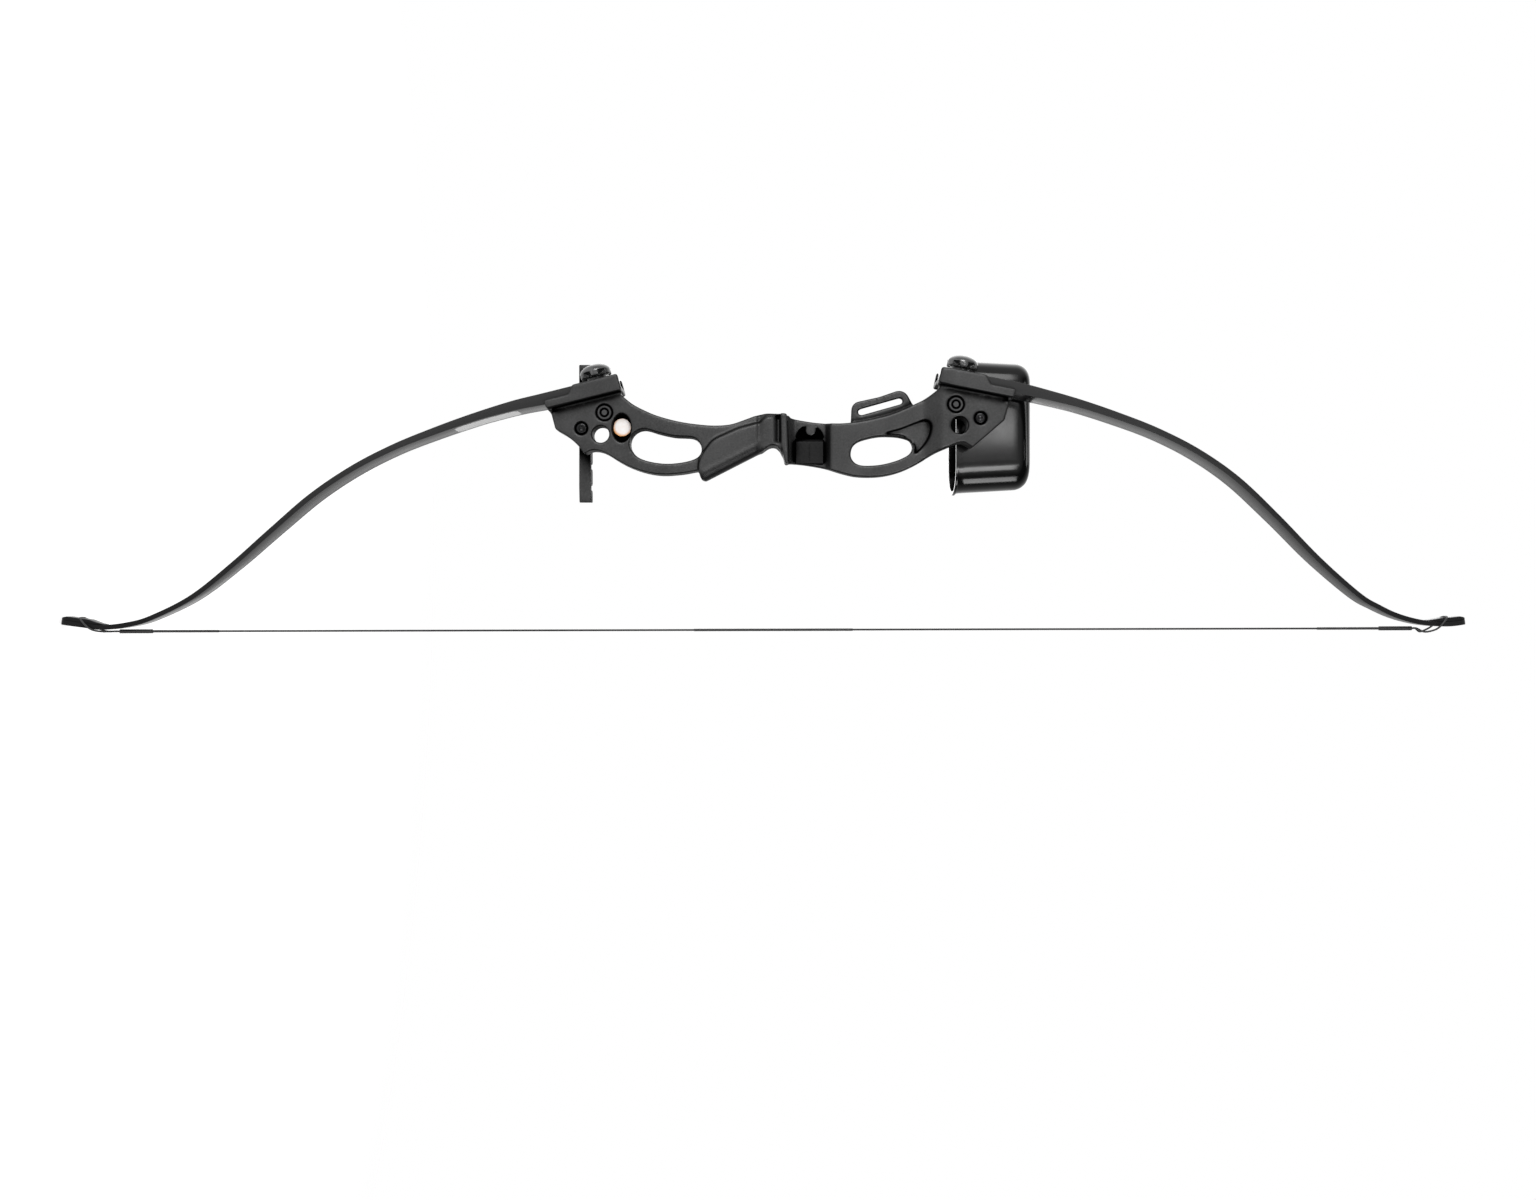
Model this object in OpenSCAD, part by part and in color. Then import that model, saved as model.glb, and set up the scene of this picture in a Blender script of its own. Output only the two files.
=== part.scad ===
// Take-down recurve bow with a moulded riser and a mounted arrow quiver.
// Held upright: +Z runs up the bow, +X points at the target, +Y is the side
// with the sight window. The origin is the throat of the grip.
// Side profiles are drawn as [z, x] points and laid across the bow along Y.

/* [Riser] */
// Thickness of the riser plate
riser_t = 24; // [20:1:30]
// Thickness of the grip across the palm
grip_t = 33; // [28:1:38]
// Radius of the grip's rounded long edges
grip_edge_r = 13; // [8:1:14]
// Diameter of the two spare holes through the riser
spare_hole_d = 15.6; // [10:0.2:16.4]
// Depth of the oval pocket beside the lower hole
oval_depth = 8; // [4:1:20]
// Diameter of the blank disc in the oval pocket
badge_d = 16.4; // [10:0.2:16.6]
// Thickness of the blank disc
badge_t = 0.5; // [0.3:0.1:1.5]

/* [Sight window] */
// How far the window's face lies below the riser's face
window_drop = 7; // [3:0.5:9]
// How much deeper the arrow pass lies than the window
pass_drop = 6; // [2:0.5:7]
// Depth of the arched recess over the arrow pass
arch_depth = 6; // [2:0.5:7]
// Radius of the arched recess
arch_r = 12.5; // [9:0.5:13]
// Diameter of the round tab in the arched recess
arch_tab_d = 10.6; // [7:0.2:12]
// Thickness of the arrow side plate
side_plate_t = 3; // [1.5:0.5:5]
// Depth of the shallow recess next to the upper cutout
scoop_depth = 4; // [1:0.5:6]
// How far the arrow shelf stands out beyond the riser's face
shelf_out = 6; // [0:1:12]
// Thickness of the sight tab
sight_tab_t = 6; // [3:0.5:8]
// Width of the slot in the sight tab
sight_slot_w = 5.6; // [4:0.2:6]

/* [Limb pockets] */
// Width of the limb pocket
pocket_w = 48; // [46:1:54]
// Lean of the lower and the upper pocket from the riser's axis
pocket_lean = [14, 11]; // [6:1:18]
// Thickness of the pocket's floor
pocket_floor_t = 4.5; // [3:0.5:6]
// Height of the pocket's tall wall above the floor
wall_tall = 11; // [6:0.5:12]
// Height of the pocket's low wall above the floor
wall_low = 3.5; // [2:0.5:6]
// Length of the pocket from the limb bolt to its closed end
pocket_back = 21; // [17:0.5:24]
// Length of the pocket from the limb bolt to its mouth
pocket_mouth = 50.5; // [40:0.5:60]
// Height of the pocket's floor above the barrel nut's axis
floor_rise = 19; // [15:0.5:24]

/* [Limbs] */
// Width of the limb at its butt
limb_w = 38; // [34:1:40]
// Width of the limb at its very end
tip_w = 15; // [12:1:20]
// Thickness of the limb's butt
butt_t = 10.5; // [8:0.5:13]
// Thickness of the limb halfway along
mid_t = 4.7; // [3.5:0.1:7]
// Thickness of the limb under the tip overlay
tip_t = 4.4; // [3.5:0.1:6]
// Thickness of the tip overlay
overlay_t = 3.8; // [2:0.2:5]
// Length of the lower and the upper tip overlay
overlay_len = [40, 36]; // [25:1:45]
// Thickness of the blank label on the lower limb
label_t = 0.3; // [0.2:0.1:0.6]

/* [Limb bolts] */
// Diameter of the limb bolt
bolt_d = 8; // [6:0.5:10]
// Diameter of the knob over its lobes
knob_d = 29; // [22:1:34]
// Height of the knob
knob_h = 15.5; // [11:0.5:20]
// Number of lobes round the knob
knob_lobes = 6; // [5:1:9]
// Diameter of the washer under the knob
washer_d = 22; // [16:1:26]
// Thickness of the washer
washer_t = 1.5; // [1:0.1:3]
// Diameter of the barrel nut
barrel_nut_d = 15.2; // [12:0.2:17]
// Diameter of the locating pin
pin_d = 5; // [3:0.5:6]
// How far the locating pin stands into the limb
pin_stand = 6; // [3:0.5:7]

/* [Bowstring] */
// Diameter of the bare string
string_d = 1.8; // [1.4:0.1:2.6]
// Wall of the thread wound over the string
serving_t = 0.3; // [0.2:0.05:0.6]
// Diameter of the bound stretch beside each loop
loop_bind_d = 3.9; // [3:0.1:5]
// Length of the bound stretch beside each loop
loop_bind_len = 30; // [15:1:45]
// Length of the thread wound beyond the lower and the upper bound stretch
end_serving_len = [61, 57]; // [30:1:90]
// Length of the centre serving below and above the nocking point
centre_serving_len = [74, 72]; // [40:1:110]
// Height of the nocking point above the grip's throat
nocking_z = 5; // [-5:1:15]

/* [Quiver hood] */
// Length of the hood along the bow, from its mouth to its closed end
hood_len = 71.5; // [67:0.5:80]
// Height of the hood across the bow
hood_h = 125; // [100:1:130]
// Depth of the hood away from the riser
hood_depth = 62; // [45:1:75]
// Wall of the hood
hood_wall = 2.2; // [1.6:0.1:3]
// Radius of the hood's corners on the archer's side
hood_r_belly = 27; // [14:1:28]
// Radius of the hood's corners on the target's side
hood_r_back = 20; // [10:1:24]
// How much the hood narrows towards its closed end, on each side
hood_draft = 3; // [0.5:0.5:4]
// Radius of the hood's closed end
hood_end_r = 14; // [6:1:16]
// How far the rim stands out round the mouth
rim_out = 1.8; // [1:0.2:3]
// Thickness of the rim
rim_t = 2.6; // [1.6:0.2:4]
// Thickness of the foam in the hood
foam_t = 25; // [15:1:34]

/* [Arrow gripper] */
// Length of the gripper's bar
gripper_len = 129; // [122:1:140]
// Width of the gripper's bar
gripper_w = 11; // [10.5:0.5:16]
// Thickness of the gripper's bar
gripper_t = 5; // [4.5:0.5:8]
// Depth of the rubber on the bar
rubber_depth = 16; // [12:1:22]
// Number of arrow notches in the rubber
notches = 6; // [4:1:6]
// Distance between the arrow notches
notch_pitch = 20; // [16:1:21]
// Diameter of the seat for an arrow shaft
notch_d = 6.4; // [5:0.2:8]
// Width of the mouth of an arrow notch
notch_mouth = 4.4; // [4.2:0.1:5]

/* [Quiver screws] */
// Diameter of the quiver's screws
screw_d = 5; // [4:0.5:6]
// Diameter of the screw's head
screw_head_d = 9; // [8:0.5:10.5]
// Diameter of the counterbore round the screw's head
counterbore_d = 12; // [11:0.5:14]
// Depth of the counterbore
counterbore_depth = 6; // [5:0.5:8]
// Width of the nut across its flats
nut_flats = 8; // [7:0.5:8.5]
// Thickness of the nut
nut_t = 4; // [3:0.5:4.4]

/* [Clearances] */
// Gap between parts that slide or seat together, per side
seat_gap = 0.3; // [0.2:0.05:0.5]
// Radial play of the bolt in its nut, and of pins and nuts in their holes
thread_gap = 0.05; // [0.02:0.01:0.1]
// Radial play of a bolt in a plain hole
bolt_gap = 0.3; // [0.15:0.05:0.5]

/* [Hidden] */

$fn = 48;
LOWER = 0;
UPPER = 1;
ENDS = [LOWER, UPPER];

// Colours
RISER_BLACK = [0.13, 0.13, 0.135];
LIMB_BLACK = [0.09, 0.09, 0.095];
KNOB_BLACK = [0.07, 0.07, 0.075];
STEEL = [0.6, 0.6, 0.62];
CORD_BLACK = [0.05, 0.05, 0.055];
HOOD_BLACK = [0.06, 0.06, 0.065];
RUBBER_BLACK = [0.08, 0.08, 0.08];
FOAM_GREY = [0.2, 0.2, 0.21];
LABEL_WHITE = [0.9, 0.9, 0.88];

// Levels across the bow
face_y = riser_t / 2;
window_y = face_y - window_drop;
pass_y = window_y - pass_drop;
// A cut runs this far past the faces that it leaves through
past = 1;

// Barrel nut centres as [z, x], with z counted outwards from the grip
nut_at = [[150.5, 31.5], [171, 39]];
back_rise = floor_rise + butt_t;
underside_rise = floor_rise - pocket_floor_t;
// Wall at the closed end of the pocket, and where the limb's butt starts inside it
pocket_end_t = 2;
butt_u = pocket_end_t - pocket_back;
// Where the pocket's side walls step down, from the limb bolt outwards
wall_step_u = [21.5, 27];
// The lip under the pocket's mouth: along the limb, down, and in from each side
lip_len = 6;
lip_t = 4;
lip_inset = 4;
// Where the locating pin stands, from the limb bolt outwards
pin_u = 34;
// Where the working limb starts to bend, from the limb bolt outwards
flex_u = pocket_mouth + 1.5;

// Back face of each working limb as [distance from the bolt, drop below the butt's back face]
limb_back_drop = [
    [[80, 0], [118.5, 2.5], [157, 6.6], [196, 12.4], [236, 22], [278, 37.2], [321, 58.6],
        [364.5, 81], [407.5, 100], [448, 109], [471, 109.8], [495, 106.5], [512, 100],
        [532, 92]],
    [[71.5, 1.2], [109, 4.5], [147.5, 9.8], [186, 17], [226, 28.7], [266.5, 46.8], [309.5, 74.1],
        [352.5, 103.6], [395, 128.2], [415.5, 135.6], [435, 140.2], [457.5, 141.5],
        [480, 138.8], [499, 133]]];
limb_back = [for (end = ENDS) concat([[flex_u, back_rise]],
    [for (p = limb_back_drop[end]) [p[0], back_rise - p[1]]])];
// Where the string's loop crosses the back of each tip, from the bolt outwards
nock_u = [512.5, 479.5];
// How far the loop's legs run before they are bound together, and how far they drop
loop_reach = [33, 29];
loop_drop = [8.2, 6.2];
// The point of the loop's route from which it lies in the tip's groove
groove_from = 3;
// Steps of the loop between two points of its route
loop_steps = 3;

// Screw places on the riser as [z, x]
hood_screw_at = [193.5, 26.5];
gripper_screw_at = [-171.5, 17];
// Spare holes as [z, x]
spare_holes = [[-154, 11.7], [174.5, 20]];
// Oval pocket
oval_at = [-134.6, 17.5];
// The disc sits a little high in its pocket
badge_shift = [-0.3, 1];
oval_w = 17.4;
oval_h = 26.4;
// Arched recess over the arrow pass and its round tab, as [z, x]
arch_at = [37.5, 8.5];
arch_tab_at = [38.3, 16.3];
// Low corner and high corner of the arrow side plate
side_plate_span = [[24.5, -14.5], [50, 8.5]];
// Both ends of the sight tab's slot
sight_slot = [[85.2, 33.8], [120.8, 43.8]];
// The straight palm side of the grip, from its heel to the throat
grip_palm = [[-58.2, -31], [-6, -4.3]];
// Both ends of the blank label on the lower limb, from the limb bolt outwards
label_span = [76, 138];

// Quiver places
hood_z = 175.5;
hood_x = -38;
hood_y = -pocket_w / 2 - 1.5;
// Corners of the hood's bracket, counted from its screw as [z, x]
bracket_span = [[-11, -9], [9, 14]];
gripper_x = -48.5;
gripper_y = -pocket_w / 2 - 1;
gripper_z = gripper_screw_at[0] - 1;
// How much of the gripper's bar bends away from the riser at its end, and how far
gripper_bend = [14, 2.5];
// Height of the knob's neck and of its straight edge, and the neck's diameter
knob_neck_h = 5;
knob_edge_h = 2.5;
knob_neck_d = 17.5;
// How far the limb bolt reaches into the knob, past its barrel nut's axis, and the room beyond
bolt_in_knob = knob_h - 4;
bolt_tail = barrel_nut_d / 2;
bolt_tail_gap = 1.4;
// Where the hood's nut seats inside the hood
hood_nut_y = hood_y - hood_wall;

// Curves and outlines
function unit(v) = v / norm(v);
function spline_point(a, b, c, d, t) =
    0.5 * ((2 * b) + (c - a) * t + (2 * a - 5 * b + 4 * c - d) * t * t
        + (3 * b - a - 3 * c + d) * t * t * t);
// Smooth curve through points, with steps between each pair
function smooth(pts, steps = 4) =
    let (last = len(pts) - 1)
    concat([for (i = [0:last - 1], s = [0:steps - 1])
        spline_point(
            i == 0 ? 2 * pts[0] - pts[1] : pts[i - 1], pts[i], pts[i + 1],
            i + 1 == last ? 2 * pts[last] - pts[last - 1] : pts[i + 2], s / steps)],
        [pts[last]]);
// Closed smooth curve through points
function smooth_ring(pts, steps = 4) =
    let (n = len(pts))
    [for (i = [0:n - 1], s = [0:steps - 1])
        spline_point(pts[(i + n - 1) % n], pts[i], pts[(i + 1) % n], pts[(i + 2) % n], s / steps)];
// Corner b between a and c, rounded to its own radius b[2]
function corner(a, b, c) =
    let (p = [b[0], b[1]], u = unit([a[0], a[1]] - p), w = unit([c[0], c[1]] - p), r = b[2])
    r == 0 ? [p] :
    let (half = acos(max(-1, min(1, u * w))) / 2,
        centre = p + unit(u + w) * r / sin(half),
        from = p + u * r / tan(half) - centre,
        to = p + w * r / tan(half) - centre,
        start = atan2(from[1], from[0]),
        turn = atan2(from[0] * to[1] - from[1] * to[0], from * to),
        n = max(2, ceil(abs(turn) / 12)))
    [for (i = [0:n]) centre + r * [cos(start + turn * i / n), sin(start + turn * i / n)]];
// Closed outline whose corners are [z, x, radius]
function rounded(pts) =
    let (n = len(pts))
    [for (i = [0:n - 1]) each corner(pts[(i + n - 1) % n], pts[i], pts[(i + 1) % n])];
function box_outline(lo, hi, r) =
    rounded([[lo[0], lo[1], r], [hi[0], lo[1], r], [hi[0], hi[1], r], [lo[0], hi[1], r]]);

// Places a [z, x] outline across the bow, from y0 to y1
module across(y0, y1) {
    rotate([0, -90, -90])
        translate([0, 0, y0])
            linear_extrude(y1 - y0)
                children();
}
// Places a [z, y] outline along X, from x0 to x1
module along_x(x0, x1) {
    translate([x1, 0, 0])
        rotate([0, -90, 0])
            linear_extrude(x1 - x0)
                children();
}
// A round bar along Y at [z, x], from y0 to y1
module bar_y(at, r, y0, y1) {
    translate([at[1], y0, at[0]])
        rotate([-90, 0, 0])
            cylinder(r = r, h = y1 - y0);
}
// A round bar along the limb bolt, from height v0 to v1 at distance u from it
module bar_v(r, v0, v1, u = 0) {
    translate([v0, 0, u])
        rotate([0, 90, 0])
            cylinder(r = r, h = v1 - v0);
}
// The frame of a limb pocket: X along its bolt away from the riser, Z out along the limb
module at_end(end) {
    mirror([0, 0, end == LOWER ? 1 : 0])
        translate([nut_at[end][1], 0, nut_at[end][0]])
            rotate([0, -pocket_lean[end], 0])
                children();
}
// A point [u, v, y] of a pocket's frame as [x, y, z] of the bow
function bow_point(end, p) =
    let (lean = pocket_lean[end],
        z = nut_at[end][0] + p[0] * cos(lean) + p[1] * sin(lean),
        x = nut_at[end][1] - p[0] * sin(lean) + p[1] * cos(lean))
    [x, p[2], end == LOWER ? -z : z];
// A point [u, v] of a pocket's frame as [z, x] of an outline
function plate_point(end, u, v) = let (p = bow_point(end, [u, v, 0])) [p[2], p[0]];

// A tube swept along points, with a fixed vector that is never parallel to it
module tube(path, r, aside, sides = 8) {
    last = len(path) - 1;
    ring = [for (i = [0:last])
        let (t = unit(path[min(i + 1, last)] - path[max(i - 1, 0)]),
            a = unit(cross(t, aside)), b = cross(t, a))
        for (k = [0:sides - 1]) path[i] + r * (cos(360 * k / sides) * a + sin(360 * k / sides) * b)];
    walls = [for (i = [0:last - 1], k = [0:sides - 1])
        let (k2 = (k + 1) % sides, p = i * sides, q = p + sides)
        each [[p + k, q + k, q + k2], [p + k, q + k2, p + k2]]];
    ends = [for (k = [1:sides - 2])
        each [[0, k, k + 1], [last * sides, last * sides + k + 1, last * sides + k]]];
    polyhedron(points = ring, faces = concat(walls, ends));
}
// A round strand between two points
module strand(a, b, r) {
    d = b - a;
    translate(a)
        rotate([0, acos(d[2] / norm(d)), atan2(d[1], d[0])])
            cylinder(r = r, h = norm(d));
}
// A sleeve between two points, open along its axis
module sleeve(a, b, r, hole_r) {
    along = past * unit(b - a);
    difference() {
        strand(a, b, r);
        strand(a - along, b + along, hole_r);
    }
}

// Riser outlines
lower_plate_edge = concat(
    [plate_point(LOWER, 1.5 - pocket_back, underside_rise + 0.5),
        plate_point(LOWER, pocket_mouth - 1, floor_rise - 2), [-199.5, 31.5], [-195.5, 16.4]],
    smooth([[-194.4, 15.6], [-183.8, 9.3], [-174.7, 1.3], [-168.9, -6.4]]),
    smooth([[-168.5, -6.4], [-163.4, -3.4], [-156.5, -3.3], [-148.6, -6], [-138, -12.6],
        [-127, -18.3], [-112, -23.3], [-97, -25.3], [-79, -24.1], [-65, -21.5]]),
    [[-10, -1], [12, 2], [12, 30.5], [8.5, 30.5]],
    smooth([[-2, 30.7], [-11, 29], [-21, 25.4], [-34, 21], [-46.5, 19.7], [-60, 20.2],
        [-80.3, 22.9], [-99.4, 27.7], [-111.3, 32.3], [-124.8, 39.3], [-136.2, 48.6]]));
upper_plate_edge = concat(
    [[14, 30], [18.6, 30]],
    smooth([[19.5, 27.8], [27.5, 26], [41, 23.8], [52.5, 22.8], [64, 22.4], [75.5, 23.2], [93, 26],
        [114, 31.5], [134.3, 40.2], [145.5, 46.2], [156, 54]]),
    [plate_point(UPPER, 5 - pocket_back, floor_rise - 2),
        plate_point(UPPER, pocket_mouth - 2, floor_rise - 2), [220, 40], [215.5, 24.5],
        [186.5, -0.4]],
    smooth([[184.5, 0.8], [176.5, 4.6], [165.3, 0.6], [151.6, -5.6], [137.3, -14.4],
        [122.9, -21.3], [108.6, -25.4], [94.5, -26.9], [79.4, -26.3], [66, -23.2], [53, -19.2],
        [41, -16.8], [29, -15.1], [14, -14]]));
grip_edge = concat(
    smooth([[-58.5, -3], [-62.5, -9.5], [-64.6, -17.5], [-64.2, -23]]),
    [[-62.3, -29], grip_palm[0], grip_palm[1]],
    smooth([[-3, -1.9], [1, 0.6], [6, 0.8], [10, -2.8]]),
    [[12, -9], [12, 28]],
    smooth([[-2, 28], [-10.5, 22], [-27.5, 17], [-40, 11.5], [-51, 6], [-58.5, -3]]));
shelf_edge = rounded([[9.5, 30.5, 0.8], [16.5, 30, 0.8], [18, -13, 0.5], [17, -15.8, 0.8],
    [14.5, -15, 0.5], [10.8, 3.5, 2]]);
slot_edge = smooth_ring([[-127.5, 3.1], [-125.5, 10.4], [-120.4, 15], [-112.7, 16.4], [-101, 13],
    [-86.5, 9.9], [-71.4, 9.1], [-65.2, 6.2], [-61.8, 0], [-62.4, -5.9], [-66.9, -10.5],
    [-77, -13.7], [-91.7, -15.3], [-106, -14], [-118.4, -10.2], [-125.1, -3.9]]);
cutout_edge = smooth_ring([[75.1, -6.5], [76.4, 0], [80.3, 4.6], [87.3, 7.7], [101.4, 10.6],
    [117, 10.4], [128.1, 7.9], [131.3, 4.8], [132.4, 1], [131.4, -2.8], [127.3, -7.2],
    [117, -12], [102.2, -15.7], [87.4, -16.5], [80.2, -14.7], [76.5, -11.1]]);
scoop_edge = smooth_ring([[106, 13], [121, 17.5], [135.5, 23], [144.5, 25.5], [149, 21],
    [148, 12], [143, 3], [134, -6], [134, 3], [124, 11]]);
sight_tab_edge = rounded([[75.5, 21, 1], [76.4, 42.2, 8], [101.5, 47.7, 30], [124.9, 55.7, 9.5],
    [134.5, 37.9, 2], [128, 30, 1], [98, 23, 1]]);

// The front of the window, seen along X: shelf, arrow pass, window, upper plate
window_front = [[10, -face_y], [10, face_y], [16, face_y], [16, 3], [23.5, pass_y],
    [51.5, pass_y], [57, window_y], [143, window_y], [158, face_y], [230, face_y], [230, -face_y]];

// Box that holds the limb's butt, with a small lip under its mouth
module pocket_block(end) {
    inside = limb_w / 2 + seat_gap;
    at_end(end) {
        difference() {
            across(-pocket_w / 2, pocket_w / 2)
                polygon(rounded([
                    [-pocket_back, underside_rise, 1],
                    [pocket_mouth - 1, underside_rise, 1],
                    [pocket_mouth, floor_rise + wall_low, 1],
                    [wall_step_u[1], floor_rise + wall_low, 1],
                    [wall_step_u[0], floor_rise + wall_tall, 1],
                    [0.5 - pocket_back, floor_rise + wall_tall, 1]]));
            across(-inside, inside)
                polygon(box_outline([butt_u - seat_gap, floor_rise],
                    [pocket_mouth + past, back_rise + past], 0));
        }
        across(lip_inset - pocket_w / 2, pocket_w / 2 - lip_inset)
            polygon([[pocket_mouth - lip_len, underside_rise + 0.5],
                [pocket_mouth - 1.5, underside_rise + 0.5],
                [pocket_mouth - 2, underside_rise - 2.5],
                [pocket_mouth - lip_len, underside_rise - lip_t]]);
    }
}
// Bores for the barrel nut, the limb bolt and the locating pin
module end_bores(end) {
    bar_y([end == LOWER ? -nut_at[end][0] : nut_at[end][0], nut_at[end][1]],
        barrel_nut_d / 2 + thread_gap, -face_y - past, face_y + past);
    at_end(end) {
        bar_v(bolt_d / 2 + bolt_gap, -bolt_tail - bolt_tail_gap, floor_rise + past);
        bar_v(pin_d / 2 + thread_gap, underside_rise - pin_stand, floor_rise + past, pin_u);
    }
}
// The grip, with its long edges rounded along the palm and round the throat
module grip_body() {
    palm = grip_palm[1] - grip_palm[0];
    profile = box_outline([0, -grip_t / 2], [60, grip_t / 2], grip_edge_r);
    intersection() {
        across(-grip_t / 2, grip_t / 2)
            polygon(grip_edge);
        union() {
            translate([grip_palm[0][1], 0, grip_palm[0][0]])
                rotate([0, atan2(palm[1], palm[0]), 0])
                    translate([0, 0, -norm(palm) / 2])
                        linear_extrude(2.5 * norm(palm))
                            polygon(profile);
            translate([-10, 0, -9])
                linear_extrude(25)
                    polygon(profile);
        }
    }
}

module sight_slot_cut() {
    for (p = sight_slot)
        bar_y(p, sight_slot_w / 2, -face_y - past, face_y + past);
    d = sight_slot[1] - sight_slot[0];
    side = sight_slot_w / 2 * [-unit(d)[1], unit(d)[0]];
    across(-face_y - past, face_y + past)
        polygon([sight_slot[0] - side, sight_slot[1] - side, sight_slot[1] + side,
            sight_slot[0] + side]);
}

// Arched recess over the arrow pass, round its tab
module arch_cut() {
    across(pass_y - arch_depth, window_y + past)
        difference() {
            intersection() {
                translate(arch_at) circle(r = arch_r);
                translate(arch_at - [arch_r, 0]) square([2 * arch_r, arch_r]);
            }
            translate(arch_tab_at) circle(d = arch_tab_d);
            translate(arch_tab_at - [arch_tab_d / 3, 0]) square([arch_tab_d / 1.5, arch_r]);
        }
}

module screw_cut(at, far_y) {
    bar_y(at, counterbore_d / 2, face_y - counterbore_depth, face_y + past);
    bar_y(at, screw_d / 2 + bolt_gap, far_y, face_y);
}

module riser() {
    color(RISER_BLACK)
        difference() {
            union() {
                across(-face_y, face_y) polygon(lower_plate_edge);
                intersection() {
                    across(-face_y, face_y) polygon(upper_plate_edge);
                    along_x(-60, 80) polygon(window_front);
                }
                grip_body();
                across(-face_y, face_y + shelf_out) polygon(shelf_edge);
                across(-face_y + 2, -face_y + 2 + sight_tab_t) polygon(sight_tab_edge);
                for (end = ENDS) pocket_block(end);
            }
            for (end = ENDS) end_bores(end);
            across(-face_y - past, face_y + past) polygon(slot_edge);
            across(-face_y - past, face_y + past) polygon(cutout_edge);
            across(window_y - scoop_depth, face_y + past) polygon(scoop_edge);
            for (p = spare_holes)
                bar_y(p, spare_hole_d / 2, -face_y - past, face_y + past);
            across(face_y - oval_depth, face_y + past)
                polygon([for (a = [0:12:348])
                    oval_at + [oval_w / 2 * cos(a), oval_h / 2 * sin(a)]]);
            sight_slot_cut();
            arch_cut();
            screw_cut(hood_screw_at, -face_y - past);
            screw_cut(gripper_screw_at, -face_y - past);
        }
}

// Plate beside the arrow's path, whose edge nearest the arch slopes back
module arrow_side_plate() {
    lo = side_plate_span[0];
    hi = side_plate_span[1];
    color(RUBBER_BLACK)
        intersection() {
            across(pass_y, pass_y + side_plate_t)
                polygon(box_outline(lo, hi, 1));
            translate([0, 0, lo[0]])
                linear_extrude(hi[0] - lo[0])
                    polygon([[lo[1], pass_y], [hi[1], pass_y],
                        [hi[1] - side_plate_t, pass_y + side_plate_t],
                        [lo[1], pass_y + side_plate_t]]);
        }
}

// Blank disc at the bottom of the oval pocket
module riser_badge() {
    color(LABEL_WHITE)
        bar_y(oval_at + badge_shift, badge_d / 2, face_y - oval_depth, face_y - oval_depth + badge_t);
}

// Limbs
function limb_half_w(u) =
    lookup(u, [[flex_u, limb_w / 2], [236, limb_w / 2 - 1.2], [290, limb_w / 2 - 2],
        [345, limb_w / 2 - 3.8], [395, limb_w / 2 - 6.3], [425, limb_w / 2 - 8.3],
        [480, tip_w / 2 + 0.5], [530, tip_w / 2]]);
function limb_t(u) =
    lookup(u, [[flex_u, butt_t], [66, butt_t - 0.8], [110, mid_t + 2.8], [150, mid_t + 1.9],
        [190, mid_t + 1], [240, mid_t + 0.5], [325, mid_t], [420, tip_t], [600, tip_t]]);
function limb_curve(end) = smooth(limb_back[end], 4);
// The same curve, moved square to itself by the limb's thickness and a bit more
function under_curve(curve, more) =
    let (last = len(curve) - 1)
    [for (i = [0:last])
        let (t = unit(curve[min(i + 1, last)] - curve[max(i - 1, 0)]))
        i == 0 ? curve[0] - [0, limb_t(flex_u) + more] :
            curve[i] + [t[1], -t[0]] * (limb_t(curve[i][0]) + more)];
function backwards(list) = [for (i = [len(list) - 1:-1:0]) list[i]];
function limb_end(end) = limb_back[end][len(limb_back[end]) - 1];

// Plan of the limb with its rounded end, as [u, y]
module limb_plan(end, grow = 0) {
    tip = limb_end(end)[0];
    stations = [0, 140, 236, 290, 345, 395, 425, 450, tip - 30, tip - tip_w / 2];
    along_x(-200, 60)
        polygon(concat(
            [for (u = stations) [u, limb_half_w(u) + grow]],
            [for (a = [75:-15:-75])
                [tip - tip_w / 2 + (tip_w / 2 + grow) * cos(a), (tip_w / 2 + grow) * sin(a)]],
            [for (u = backwards(stations)) [u, -limb_half_w(u) - grow]]));
}

module limb_butt(end) {
    color(LIMB_BLACK)
        at_end(end)
            difference() {
                across(-limb_w / 2, limb_w / 2)
                    polygon(box_outline([butt_u, floor_rise], [flex_u, back_rise], 0));
                bar_v(bolt_d / 2 + bolt_gap, floor_rise - past, back_rise + past);
                bar_v(pin_d / 2 + thread_gap, floor_rise - past, floor_rise + pin_stand + seat_gap,
                    pin_u);
            }
}

// The loop's way round the tip, in the pocket's frame as [u, v, y]
function nock_curve(end) =
    let (u = nock_u[end],
        v = lookup(u, limb_back[end]),
        side = limb_half_w(u) + string_d / 2,
        join = loop_join(end),
        out = [cos(pocket_lean[end]), sin(pocket_lean[end])],
        half = [join + [0.2 * out[0], 0.2 * out[1], string_d / 2 + 0.05],
            join + [4 * out[0], 4 * out[1], 1.5],
            [u - 17, v - tip_t - 8.4, side * 0.62],
            [u - 10, v - tip_t - 5.2, side + 0.6],
            [u - 5, v - tip_t - 0.5, side + 0.2],
            [u - 1, v + overlay_t * 0.55, side - 0.5],
            [u + 0.6, v + overlay_t + 0.5, side * 0.6],
            [u + 1, v + overlay_t + 0.9, side * 0.2]])
    concat(half, backwards([for (p = half) [p[0], p[1], -p[2]]]));
// Where the loop's two legs meet, in the pocket's frame
function loop_join(end) =
    let (lean = pocket_lean[end], reach = loop_reach[end], drop = loop_drop[end],
        u = nock_u[end], v = lookup(u, limb_back[end]))
    [u - reach * cos(lean) + drop * sin(lean), v - reach * sin(lean) - drop * cos(lean), 0];

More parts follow.
